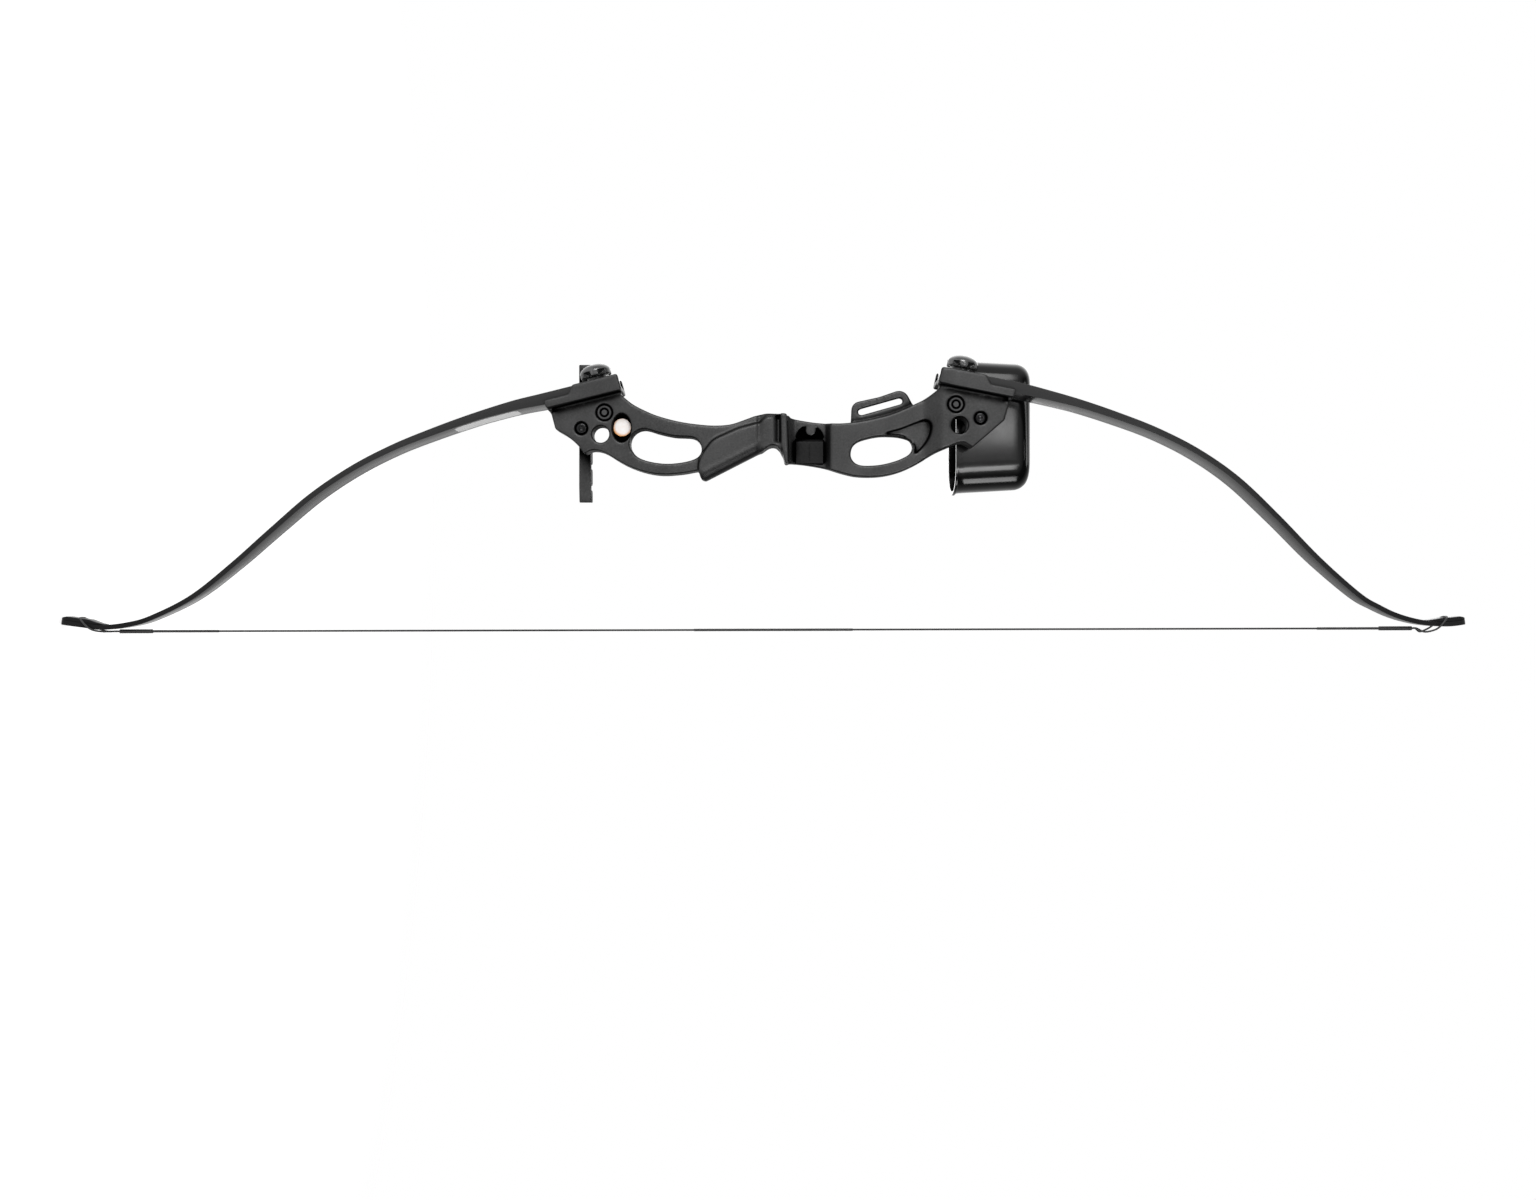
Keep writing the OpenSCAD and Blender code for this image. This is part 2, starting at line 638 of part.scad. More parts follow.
// Room for the loop round the tip
module nock_cut(end) {
    path = smooth(nock_curve(end), loop_steps);
    first = groove_from * loop_steps;
    tube([for (i = [first:len(path) - 1 - first]) [path[i][1], path[i][2], path[i][0]]],
        string_d / 2 + 2 * seat_gap, [-1, 0, 1], 12);
}

module working_limb(end) {
    curve = limb_curve(end);
    color(LIMB_BLACK)
        at_end(end)
            difference() {
                intersection() {
                    across(-limb_w, limb_w)
                        polygon(concat(curve, backwards(under_curve(curve, 0))));
                    limb_plan(end);
                }
                nock_cut(end);
            }
}

module tip_overlay(end) {
    tip = limb_end(end)[0];
    start = tip - overlay_len[end];
    base = [for (p = limb_curve(end)) if (p[0] >= start) p];
    last = len(base) - 1;
    top = [for (i = [0:last])
        let (t = unit(base[min(i + 1, last)] - base[max(i - 1, 0)]),
            rise = overlay_t * min(1, 0.12 + (base[i][0] - base[0][0]) / 16, 0.5 + (tip - base[i][0]) / 12))
        base[i] + [-t[1], t[0]] * rise];
    color(LIMB_BLACK)
        at_end(end)
            difference() {
                intersection() {
                    across(-limb_w, limb_w)
                        polygon(concat(base, backwards(top)));
                    limb_plan(end);
                }
                nock_cut(end);
            }
}

// Blank label on the belly of the lower limb
module limb_label() {
    curve = limb_curve(LOWER);
    inner = [for (p = under_curve(curve, 0)) if (p[0] >= label_span[0] && p[0] <= label_span[1]) p];
    outer = [for (i = [0:len(curve) - 1])
        let (p = under_curve(curve, 0)[i])
        if (p[0] >= label_span[0] && p[0] <= label_span[1]) under_curve(curve, label_t)[i]];
    color(LABEL_WHITE)
        at_end(LOWER)
            across(-limb_w / 2 + 6, limb_w / 2 - 6)
                polygon(concat(inner, backwards(outer)));
}

// Limb bolt, knob and what they pull on
module barrel_nut(end) {
    at = [end == LOWER ? -nut_at[end][0] : nut_at[end][0], nut_at[end][1]];
    color(RISER_BLACK)
        difference() {
            bar_y(at, barrel_nut_d / 2, -face_y, face_y);
            bar_y(at, barrel_nut_d / 4, face_y - 3, face_y + past);
            at_end(end)
                bar_v(bolt_d / 2 + thread_gap, -barrel_nut_d, barrel_nut_d);
        }
}
module locating_pin(end) {
    color(STEEL)
        at_end(end)
            bar_v(pin_d / 2, underside_rise - pin_stand + seat_gap, floor_rise + pin_stand, pin_u);
}
module washer(end) {
    color(STEEL)
        at_end(end)
            difference() {
                bar_v(washer_d / 2, back_rise, back_rise + washer_t);
                bar_v(bolt_d / 2 + bolt_gap, back_rise - past, back_rise + washer_t + past);
            }
}
module knob(end) {
    base = back_rise + washer_t;
    cap_r = knob_d / 2;
    lobe_r = 1.25 * cap_r * sin(180 / knob_lobes);
    edge_z = knob_neck_h + knob_edge_h;
    cap_z = knob_neck_h - 1.5;
    color(KNOB_BLACK)
        at_end(end)
            difference() {
                union() {
                    bar_v(knob_neck_d / 2, base, base + knob_neck_h + past);
                    translate([base, 0, 0])
                        rotate([0, 90, 0])
                            intersection() {
                                translate([0, 0, cap_z])
                                    linear_extrude(knob_h)
                                        union() {
                                            circle(r = cap_r - lobe_r * 0.75);
                                            for (i = [0:knob_lobes - 1])
                                                rotate(90 + 360 * i / knob_lobes)
                                                    translate([cap_r - lobe_r, 0])
                                                        circle(r = lobe_r);
                                        }
                                rotate_extrude()
                                    polygon(concat([[0, cap_z], [cap_r, cap_z], [cap_r, edge_z]],
                                        [for (a = [15:15:90])
                                            [cap_r * cos(a), edge_z + (knob_h - edge_z) * sin(a)]]));
                            }
                }
                bar_v(bolt_d / 2, base - past, base + bolt_in_knob);
            }
}
module limb_bolt(end) {
    color(STEEL)
        at_end(end)
            bar_v(bolt_d / 2, -bolt_tail, back_rise + washer_t + bolt_in_knob);
}

// Bowstring
function string_join(end) = bow_point(end, loop_join(end));
function string_at_z(z) =
    let (a = string_join(LOWER), b = string_join(UPPER), f = (z - a[2]) / (b[2] - a[2]))
    a + (b - a) * f;
// A point on the string at a distance from the loop's join towards the nocking point
function from_join(end, d) =
    string_join(end) + d * unit(string_at_z(nocking_z) - string_join(end));
function from_nock(end, d) =
    string_at_z(nocking_z) + d * unit(string_join(end) - string_at_z(nocking_z));

module string_half(end) {
    color(CORD_BLACK)
        strand(string_join(end), string_at_z(nocking_z), string_d / 2);
}
module string_loop(end) {
    color(CORD_BLACK)
        tube([for (p = smooth(nock_curve(end), loop_steps)) bow_point(end, p)], string_d / 2,
            [-1, 0, end == LOWER ? -1 : 1]);
}
module loop_binding(end) {
    color(CORD_BLACK)
        sleeve(from_join(end, 0), from_join(end, loop_bind_len), loop_bind_d / 2, string_d / 2);
}
module end_serving(end) {
    color(CORD_BLACK)
        sleeve(from_join(end, loop_bind_len), from_join(end, loop_bind_len + end_serving_len[end]),
            string_d / 2 + serving_t, string_d / 2);
}
module centre_serving(end) {
    color(CORD_BLACK)
        sleeve(from_nock(end, 0), from_nock(end, centre_serving_len[end]),
            string_d / 2 + serving_t, string_d / 2);
}

// Quiver hood, a deep box that is open towards the grip and flat on the riser's side
module hood_slab(z, inset, draft, h = 0.1) {
    lo = [hood_x + inset + draft, hood_y - hood_depth + inset + draft];
    hi = [hood_x + hood_h - inset - draft, hood_y - inset];
    belly = max(1, hood_r_belly - inset);
    back = max(1, hood_r_back - inset);
    translate([0, 0, z])
        linear_extrude(h)
            polygon(rounded([[lo[0], lo[1], belly], [hi[0], lo[1], back],
                [hi[0], hi[1], back], [lo[0], hi[1], belly]]));
}
module hood_form(inset, below) {
    end_z = hood_z + hood_len - inset;
    hull() {
        hood_slab(hood_z - below, inset, 0);
        hood_slab(end_z - hood_end_r, inset, hood_draft);
        hood_slab(end_z - hood_end_r * 0.3, inset + hood_end_r * 0.3, hood_draft);
        hood_slab(end_z - 0.1, inset + hood_end_r, hood_draft);
    }
}
module quiver_hood() {
    color(HOOD_BLACK)
        difference() {
            union() {
                hood_form(0, 0);
                difference() {
                    hood_slab(hood_z, -rim_out, 0, rim_t);
                    across(hood_y, hood_y + 2 * rim_out)
                        square([4 * hood_z, 2 * hood_h], center = true);
                }
            }
            hood_form(hood_wall, past);
            bar_y(hood_screw_at, screw_d / 2 + bolt_gap, hood_nut_y - past, hood_y + past);
        }
}
module hood_foam() {
    end_z = hood_z + hood_len - hood_end_r - hood_wall;
    color(FOAM_GREY)
        hood_slab(end_z - foam_t, hood_wall + seat_gap, hood_draft, foam_t);
}
// Block that holds the hood off the riser's far face
module hood_bracket() {
    color(HOOD_BLACK)
        difference() {
            across(hood_y, -face_y)
                polygon(box_outline(hood_screw_at + bracket_span[0],
                    hood_screw_at + bracket_span[1], 3));
            bar_y(hood_screw_at, screw_d / 2 + bolt_gap, hood_y - past, -face_y + past);
        }
}

// Cap screw with a hexagon socket, from its head on the riser to far_y
module cap_screw(at, far_y) {
    seat = face_y - counterbore_depth;
    color(STEEL)
        difference() {
            union() {
                bar_y(at, screw_head_d / 2, seat, seat + screw_d);
                bar_y(at, screw_d / 2, far_y, seat + 0.5);
            }
            translate([at[1], seat + screw_d / 2, at[0]])
                rotate([-90, 0, 0])
                    cylinder(d = screw_d * 0.95, h = screw_d, $fn = 6);
        }
}
module hex_nut(at, near_y) {
    color(STEEL)
        translate([at[1], near_y - nut_t, at[0]])
            rotate([-90, 0, 0])
                difference() {
                    cylinder(d = nut_flats / cos(30), h = nut_t, $fn = 6);
                    translate([0, 0, -past])
                        cylinder(r = screw_d / 2 + thread_gap, h = nut_t + 2 * past);
                }
}

// Arrow gripper
module gripper_bar() {
    color(RISER_BLACK)
        difference() {
            // Seen along the bow the lower end bends away from the riser
            translate([0, 0, gripper_z - gripper_w / 2])
                linear_extrude(gripper_w)
                    polygon([[gripper_x, gripper_y - gripper_bend[1]],
                        [gripper_x + gripper_bend[0], gripper_y],
                        [gripper_x + gripper_len, gripper_y],
                        [gripper_x + gripper_len, gripper_y - gripper_t],
                        [gripper_x, gripper_y - gripper_t]]);
            bar_y(gripper_screw_at, screw_d / 2 + bolt_gap, gripper_y - gripper_t - past,
                gripper_y + past);
            translate([gripper_screw_at[1], gripper_y - gripper_t - past, gripper_screw_at[0]])
                rotate([-90, 0, 0])
                    cylinder(d = (nut_flats + 2 * thread_gap) / cos(30), h = nut_t + past, $fn = 6);
        }
}
module gripper_rubber() {
    y1 = gripper_y - gripper_t;
    y0 = y1 - rubber_depth;
    margin = (gripper_len - (notches - 1) * notch_pitch) / 2;
    seat_y = y0 + rubber_depth * 0.42;
    color(RUBBER_BLACK)
        difference() {
            translate([0, 0, gripper_z - gripper_w / 2 + 0.5])
                linear_extrude(gripper_w - 1)
                    difference() {
                        translate([gripper_x + 1, y0])
                            square([gripper_len - 2, rubber_depth]);
                        for (i = [0:notches - 1])
                            translate([gripper_x + margin + i * notch_pitch, seat_y]) {
                                circle(d = notch_d);
                                translate([-notch_mouth / 2, -rubber_depth])
                                    square([notch_mouth, rubber_depth]);
                                polygon([[-notch_mouth / 2, y0 - seat_y + 2.5],
                                    [-notch_mouth, y0 - seat_y - 1], [notch_mouth, y0 - seat_y - 1],
                                    [notch_mouth / 2, y0 - seat_y + 2.5]]);
                            }
                    }
            bar_y(gripper_screw_at, screw_d / 2 + bolt_gap, y1 - 3, y1 + past);
        }
}
module gripper_spacer() {
    color(RISER_BLACK)
        difference() {
            bar_y(gripper_screw_at, screw_d * 1.1, gripper_y, -face_y);
            bar_y(gripper_screw_at, screw_d / 2 + bolt_gap, gripper_y - past, -face_y + past);
        }
}

riser();
arrow_side_plate();
riser_badge();
limb_butt(LOWER);  // lower_limb_butt
limb_butt(UPPER);  // upper_limb_butt
working_limb(LOWER);  // lower_limb
working_limb(UPPER);  // upper_limb
tip_overlay(LOWER);  // lower_tip_overlay
tip_overlay(UPPER);  // upper_tip_overlay
limb_label();  // lower_limb_label
barrel_nut(LOWER);  // lower_barrel_nut
barrel_nut(UPPER);  // upper_barrel_nut
locating_pin(LOWER);  // lower_locating_pin
locating_pin(UPPER);  // upper_locating_pin
washer(LOWER);  // lower_washer
washer(UPPER);  // upper_washer
knob(LOWER);  // lower_knob
knob(UPPER);  // upper_knob
limb_bolt(LOWER);  // lower_bolt
limb_bolt(UPPER);  // upper_bolt
string_half(LOWER);  // lower_string
string_half(UPPER);  // upper_string
string_loop(LOWER);  // lower_string_loop
string_loop(UPPER);  // upper_string_loop
loop_binding(LOWER);  // lower_loop_binding
loop_binding(UPPER);  // upper_loop_binding
end_serving(LOWER);  // lower_end_serving
end_serving(UPPER);  // upper_end_serving
centre_serving(LOWER);  // centre_serving_lower
centre_serving(UPPER);  // centre_serving_upper
quiver_hood();
hood_foam();
hood_bracket();
cap_screw(hood_screw_at, hood_nut_y - nut_t - 1);  // hood_screw
hex_nut(hood_screw_at, hood_nut_y);  // hood_nut
gripper_bar();
gripper_rubber();
gripper_spacer();
cap_screw(gripper_screw_at, gripper_y - gripper_t - 1);  // gripper_screw
hex_nut(gripper_screw_at, gripper_y - gripper_t + nut_t);  // gripper_nut
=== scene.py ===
import math

import bmesh
import bpy
import numpy as np
import openvdb as vdb
from mathutils import Matrix, Vector


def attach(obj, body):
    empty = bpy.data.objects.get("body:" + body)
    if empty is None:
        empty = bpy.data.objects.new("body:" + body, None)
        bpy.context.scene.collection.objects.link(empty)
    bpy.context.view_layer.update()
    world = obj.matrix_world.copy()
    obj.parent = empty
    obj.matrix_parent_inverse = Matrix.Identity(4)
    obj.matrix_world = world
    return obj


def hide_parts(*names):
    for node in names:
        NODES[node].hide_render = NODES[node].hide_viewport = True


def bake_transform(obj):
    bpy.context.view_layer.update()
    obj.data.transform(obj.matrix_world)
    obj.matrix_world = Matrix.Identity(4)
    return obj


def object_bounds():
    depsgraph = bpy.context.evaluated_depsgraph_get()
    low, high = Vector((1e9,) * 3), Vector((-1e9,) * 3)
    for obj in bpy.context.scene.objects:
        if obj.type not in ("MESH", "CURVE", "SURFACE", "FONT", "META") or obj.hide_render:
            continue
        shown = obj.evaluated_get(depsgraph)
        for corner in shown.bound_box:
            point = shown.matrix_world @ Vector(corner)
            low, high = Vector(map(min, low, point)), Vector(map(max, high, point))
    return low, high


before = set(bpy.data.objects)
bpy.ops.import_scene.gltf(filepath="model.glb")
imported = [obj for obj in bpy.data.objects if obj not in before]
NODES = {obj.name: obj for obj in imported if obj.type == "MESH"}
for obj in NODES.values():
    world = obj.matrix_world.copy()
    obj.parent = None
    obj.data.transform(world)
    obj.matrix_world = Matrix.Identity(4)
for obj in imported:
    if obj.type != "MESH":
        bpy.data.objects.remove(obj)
cad_box = [list(corner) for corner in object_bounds()]
MM = 0.001

# Places and sizes that the CAD model holds too, in millimetres. Pairs are for the lower and the upper end
LOWER, UPPER = 0, 1
END_NAMES = ("lower", "upper")
# Each barrel nut along the bow and towards the bow's back, and the lean of its pocket in degrees
NUT_AT = ((150.5, 31.5), (171.0, 39.0))
POCKET_LEAN = (14, 11)
# A limb's butt and the start of its flexing part, from its bolt, and its back above the nut
BUTT_U = -19.0
FLEX_U = 52.0
BACK_RISE = 29.5
BUTT_T = 10.5
MID_T = 4.7
TIP_T = 4.4
LIMB_W = 38.0
TIP_W = 15.0
OVERLAY_T = 3.8
OVERLAY_LEN = (40, 36)
# The string's groove in each tip, and where the loop closes, short of the groove and below it
NOCK_U = (512.5, 479.5)
LOOP_REACH = (33, 29)
LOOP_DROP = (8.2, 6.2)
# How far a limb's back has dropped, by distance from its bolt
LIMB_DROP = (
    ((80, 0), (118.5, 2.5), (157, 6.6), (196, 12.4), (236, 22), (278, 37.2), (321, 58.6), (364.5, 81),
     (407.5, 100), (448, 109), (471, 109.8), (495, 106.5), (512, 100), (531.4, 92.24)),
    ((71.5, 1.2), (109, 4.5), (147.5, 9.8), (186, 17), (226, 28.7), (266.5, 46.8), (309.5, 74.1),
     (352.5, 103.6), (395, 128.2), (415.5, 135.6), (435, 140.2), (457.5, 141.5), (480, 138.8),
     (498.4, 133.18)))
# Thickness and half width of a limb by distance from its bolt
THICKNESS = ((FLEX_U, BUTT_T), (66, BUTT_T - 0.8), (110, MID_T + 2.8), (150, MID_T + 1.9), (190, MID_T + 1),
             (240, MID_T + 0.5), (325, MID_T), (420, TIP_T), (600, TIP_T))
HALF_WIDTH = ((FLEX_U, LIMB_W / 2), (236, LIMB_W / 2 - 1.2), (290, LIMB_W / 2 - 2), (345, LIMB_W / 2 - 3.8),
              (395, LIMB_W / 2 - 6.3), (425, LIMB_W / 2 - 8.3), (480, TIP_W / 2 + 0.5), (530, TIP_W / 2))
STRING_D = 1.8
SERVING_T = 0.3
LOOP_BIND_D = 3.9
LOOP_BIND_LEN = 30
END_SERVING_LEN = (61, 57)
CENTRE_SERVING_LEN = (74, 72)
NOCKING_Z = 5.0
LABEL_SPAN = (76, 138)
LABEL_MARGIN = 6
WASHER_T = 1.5
BORE_R = 4.3
# The gripper bar's first corner along x, its back face along y and its middle along z
BAR_X = -48.5
BAR_Y = -25.0
BAR_Z = -172.5
BAR_LEN = 129.0
BAR_T = 5.0
BAR_W = 11.0


# Camera, lights and stage

def photo_camera():
    """Straight on to the bow's side, 1433 mm from its middle plane, with 0.9213 mm to a pixel there."""
    distance, pixel, wide = 1.433, 0.9213 * MM, 1536
    foot_x, foot_z = -0.140, -0.0009
    data = bpy.data.cameras.new("photo_camera")
    data.sensor_width = 36
    data.lens = data.sensor_width * distance / (pixel * wide)
    data.clip_end = 50
    camera = bpy.data.objects.new("photo_camera", data)
    bpy.context.scene.collection.objects.link(camera)
    camera.matrix_world = Matrix(((0, 1, 0, foot_x), (0, 0, 1, distance), (1, 0, 0, foot_z), (0, 0, 0, 1)))
    bpy.context.scene.camera = camera


def area_light(name, place, target, size, power, size_y=None):
    """A square or oblong lamp that shines from a place at a target, both in metres."""
    data = bpy.data.lights.new(name, "AREA")
    data.energy = power
    data.size = size
    if size_y:
        data.shape = "RECTANGLE"
        data.size_y = size_y
    lamp = bpy.data.objects.new(name, data)
    bpy.context.scene.collection.objects.link(lamp)
    away = Vector(place) - Vector(target)
    lamp.matrix_world = Matrix.Translation(place) @ away.to_track_quat("Z", "Y").to_matrix().to_4x4()
    lamp.visible_camera = False


def studio_world():
    """White to the camera. Reflections show a bright room on the camera's side, a ceiling and a backdrop.
    Soft light comes from the camera's side and from above."""
    world = bpy.data.worlds.new("studio")
    world.use_nodes = True
    bpy.context.scene.world = world
    t = Tree(world.node_tree)
    t.clear()
    path = t.node("ShaderNodeLightPath")
    coord = t.node("ShaderNodeTexCoord")
    towards = t.node("ShaderNodeSeparateXYZ", Vector=coord.outputs["Generated"]).outputs
    room = t.spread(towards["Y"], 0.0, 0.74, 0.5, 0.97)
    ceiling = t.spread(towards["X"], 0.0, 0.7, 0.4, 0.8)
    behind = t.spread(towards["Y"], 0.05, 1.8, -0.05, -0.9)
    above = t.spread(towards["X"], 0.34, 1.0, -0.06, 0.06)
    backdrop = t.math("MULTIPLY", behind, above)
    mirrored = t.math("ADD", t.math("ADD", room, ceiling), backdrop)
    frontal = t.spread(towards["Y"], 0.10, 0.55, -0.1, 0.9)
    overhead = t.spread(towards["X"], 0.0, 0.25, 0.0, 1.0)
    soft = t.math("ADD", frontal, overhead)
    seen = t.math("ADD", path.outputs["Is Camera Ray"], path.outputs["Is Transmission Ray"])
    shown = t.math("ADD", seen, t.math("MULTIPLY", path.outputs["Is Glossy Ray"], mirrored))
    is_diffuse = t.math("SUBTRACT", 1.0, t.math("ADD", seen, path.outputs["Is Glossy Ray"]))
    strength = t.math("ADD", shown, t.math("MULTIPLY", is_diffuse, soft))
    back = t.node("ShaderNodeBackground", Strength=strength)
    back.inputs["Color"].default_value = (1, 1, 1, 1)
    out = t.node("ShaderNodeOutputWorld")
    t.link(back.outputs[0], out.inputs["Surface"])


def lamps():
    """A soft key, a low strip, and small lights for the knobs, the hood, the backdrop and the upper end."""
    area_light("key", (1.6, 2.0, 0.1), (0, 0, 0), 1.3, 34)
    area_light("catch_light", (0.255, 2.3, 0.59), (0.01, 0, 0.22), 0.27, 2.1)
    area_light("low_strip", (-0.79, 2.16, 0.1), (0, 0, 0.1), 0.3, 6, 2.4)
    area_light("hood_low_band", (-0.406, 0.727, 0.33), (-0.02, -0.03, 0.21), 0.25, 1.5, 0.2)
    area_light("hood_under_band", (-0.707, 0.094, 0.314), (-0.02, -0.04, 0.21), 0.27, 1.2, 0.2)
    area_light("backdrop_panel", (0.22, -1.3, 0.1), (0.05, 0, 0.05), 0.5, 1.4, 0.8)
    area_light("upper_rim", (0.1, 0.2, 2.0), (0, 0, 0.2), 0.5, 5, 1.2)


def floor_white():
    """Pale floor that looks white and still takes the bow's shadow."""
    tone, glow_strength = 0.7, 0.74
    material = bpy.data.materials.new("floor_white")
    material.use_nodes = True
    t = Tree(material.node_tree)
    t.clear()
    path = t.node("ShaderNodeLightPath")
    seen = t.math("ADD", path.outputs["Is Camera Ray"], path.outputs["Is Glossy Ray"])
    seen = t.math("ADD", seen, path.outputs["Is Transmission Ray"])
    matt = t.node("ShaderNodeBsdfDiffuse")
    matt.inputs["Color"].default_value = (tone, tone, tone, 1)
    glow = t.node("ShaderNodeEmission", Strength=t.math("MULTIPLY", seen, glow_strength))
    both = t.node("ShaderNodeAddShader")
    t.link(matt.outputs[0], both.inputs[0])
    t.link(glow.outputs[0], both.inputs[1])
    out = t.node("ShaderNodeOutputMaterial")
    t.link(both.outputs[0], out.inputs["Surface"])
    return material


def round_floor():
    """A disc just under the bow."""
    radius, steps, gap = 1.6, 96, 0.001
    level = cad_box[0][2] - gap
    rim = [(radius * math.cos(a), radius * math.sin(a), level) for a in angles(steps)]
    mesh = bpy.data.meshes.new("floor")
    mesh.from_pydata(rim, [], [list(range(steps))])
    mesh.materials.append(floor_white())
    floor = bpy.data.objects.new("floor", mesh)
    bpy.context.scene.collection.objects.link(floor)


def studio():
    """The world, the lamps and the floor, shown without a film look."""
    bpy.context.scene.view_settings.view_transform = "Standard"
    studio_world()
    lamps()
    round_floor()


# Materials

class Tree:
    """Short forms for building a node tree."""

    def __init__(self, tree):
        self.tree = tree

    def clear(self):
        self.tree.nodes.clear()

    def node(self, kind, **inputs):
        n = self.tree.nodes.new(kind)
        for key, value in inputs.items():
            self.feed(n.inputs[key.replace("_", " ")], value)
        return n

    def feed(self, socket, value):
        if isinstance(value, bpy.types.NodeSocket):
            self.tree.links.new(value, socket)
        else:
            socket.default_value = value

    def link(self, a, b):
        self.tree.links.new(a, b)

    def math(self, operation, a, b=None):
        n = self.tree.nodes.new("ShaderNodeMath")
        n.operation = operation
        self.feed(n.inputs[0], a)
        if b is not None:
            self.feed(n.inputs[1], b)
        return n.outputs[0]

    def noise(self, scale, detail=3.0, rough=0.5, vector=None):
        n = self.tree.nodes.new("ShaderNodeTexNoise")
        n.inputs["Scale"].default_value = scale
        n.inputs["Detail"].default_value = detail
        n.inputs["Roughness"].default_value = rough
        if vector is None:
            vector = self.object_place()
        self.link(vector, n.inputs["Vector"])
        return n.outputs["Fac"]

    def object_place(self):
        if not hasattr(self, "coord"):
            self.coord = self.tree.nodes.new("ShaderNodeTexCoord")
        return self.coord.outputs["Object"]

    def spread(self, value, low, high, start=0.3, end=0.7):
        n = self.node("ShaderNodeMapRange", Value=value)
        n.inputs["From Min"].default_value = start
        n.inputs["From Max"].default_value = end
        n.inputs["To Min"].default_value = low
        n.inputs["To Max"].default_value = high
        return n.outputs["Result"]

    def mix(self, fac, a, b):
        n = self.tree.nodes.new("ShaderNodeMix")
        n.data_type = "RGBA"
        self.feed(n.inputs[0], fac)
        self.feed(n.inputs[6], a)
        self.feed(n.inputs[7], b)
        return n.outputs[2]

    def bump(self, height, strength, distance):
        n = self.node("ShaderNodeBump", Height=height)
        n.inputs["Strength"].default_value = strength
        n.inputs["Distance"].default_value = distance
        return n.outputs["Normal"]


def grey(v):
    """A grey with a trace of blue."""
    return (v, v, v * 1.03, 1.0)


def new_material(name):
    """A material with a short form of its tree and its shader."""
    material = bpy.data.materials.new(name)
    material.use_nodes = True
    return material, Tree(material.node_tree), material.node_tree.nodes["Principled BSDF"]


def squareness(t, normal="Normal"):
    """How squarely a surface faces the bow's side: 1 on the plate's faces, 0 on its edges."""
    facing = t.node("ShaderNodeSeparateXYZ", Vector=t.node("ShaderNodeNewGeometry").outputs[normal])
    return t.math("ABSOLUTE", facing.outputs["Y"])


def from_middle(t, axis):
    """Distance from the bow's middle along an axis, in metres."""
    place = t.node("ShaderNodeSeparateXYZ", Vector=t.object_place())
    return t.math("ABSOLUTE", place.outputs[axis])


def painted_light_share(t, square, deepest):
    """Painted shade from ambient occlusion, as a share of light: 1 in the open, deepest where it is shut in,
    and a little on the walls of holes through the plate. It darkens colour and sheen."""
    around = t.node("ShaderNodeAmbientOcclusion")
    around.samples = 24
    around.inputs["Distance"].default_value = 0.060
    open_air = t.spread(around.outputs["AO"], deepest, 1.0, 0.66, 0.80)
    wall = t.spread(square, 0.07, 0.0, 0.3, 0.6)
    in_plate = t.spread(from_middle(t, "Y"), 1.0, 0.0, 0.0115, 0.0125)
    return t.math("MAXIMUM", open_air, t.math("MULTIPLY", wall, in_plate))


def moulded(name, dark, light, rough, grain=1400.0, grain_depth=0.00006, shine=0.5, deepest=0.0, rim=0.1):
    """Moulded plastic: a fine grain, slow tone changes, worn corners and a mottled sheen. Painted shade fades
    the sheen on rounded edges and turns colour and sheen nearly black where a place is shut in."""
    material, t, shader = new_material(name)
    slow = t.noise(28.0, 4.0)
    fine = t.noise(grain, 2.0)
    tone = t.mix(t.spread(slow, 0.0, 1.0), grey(dark), grey(light))
    corner = t.node("ShaderNodeNewGeometry").outputs["Pointiness"]
    tone = t.mix(t.spread(corner, 0.0, 0.25, 0.55, 0.64), tone, grey(light * 1.8))
    square = squareness(t)
    lit = painted_light_share(t, square, deepest)
    # Painted shade: the base colour goes nearly black where ambient occlusion finds the place shut in.
    t.link(t.mix(lit, grey(dark * 0.08), tone), shader.inputs["Base Color"])
    t.link(t.spread(fine, rough - 0.05, rough + 0.07), shader.inputs["Roughness"])
    t.link(t.bump(fine, 0.35, grain_depth), shader.inputs["Normal"])
    mottle = t.math("ADD", t.spread(slow, 0.8, 1.1), t.spread(t.noise(620.0, 3.0, 0.6), -0.16, 0.16))
    # Painted shade in the sheen: it fades on rounded edges and hole walls, and where the place is shut in.
    sheen = t.math("MULTIPLY", mottle, t.spread(square, shine * rim, shine, 0.6, 0.985))
    t.link(t.math("MULTIPLY", lit, sheen), shader.inputs["Specular IOR Level"])
    shader.inputs["IOR"].default_value = 1.56
    return material


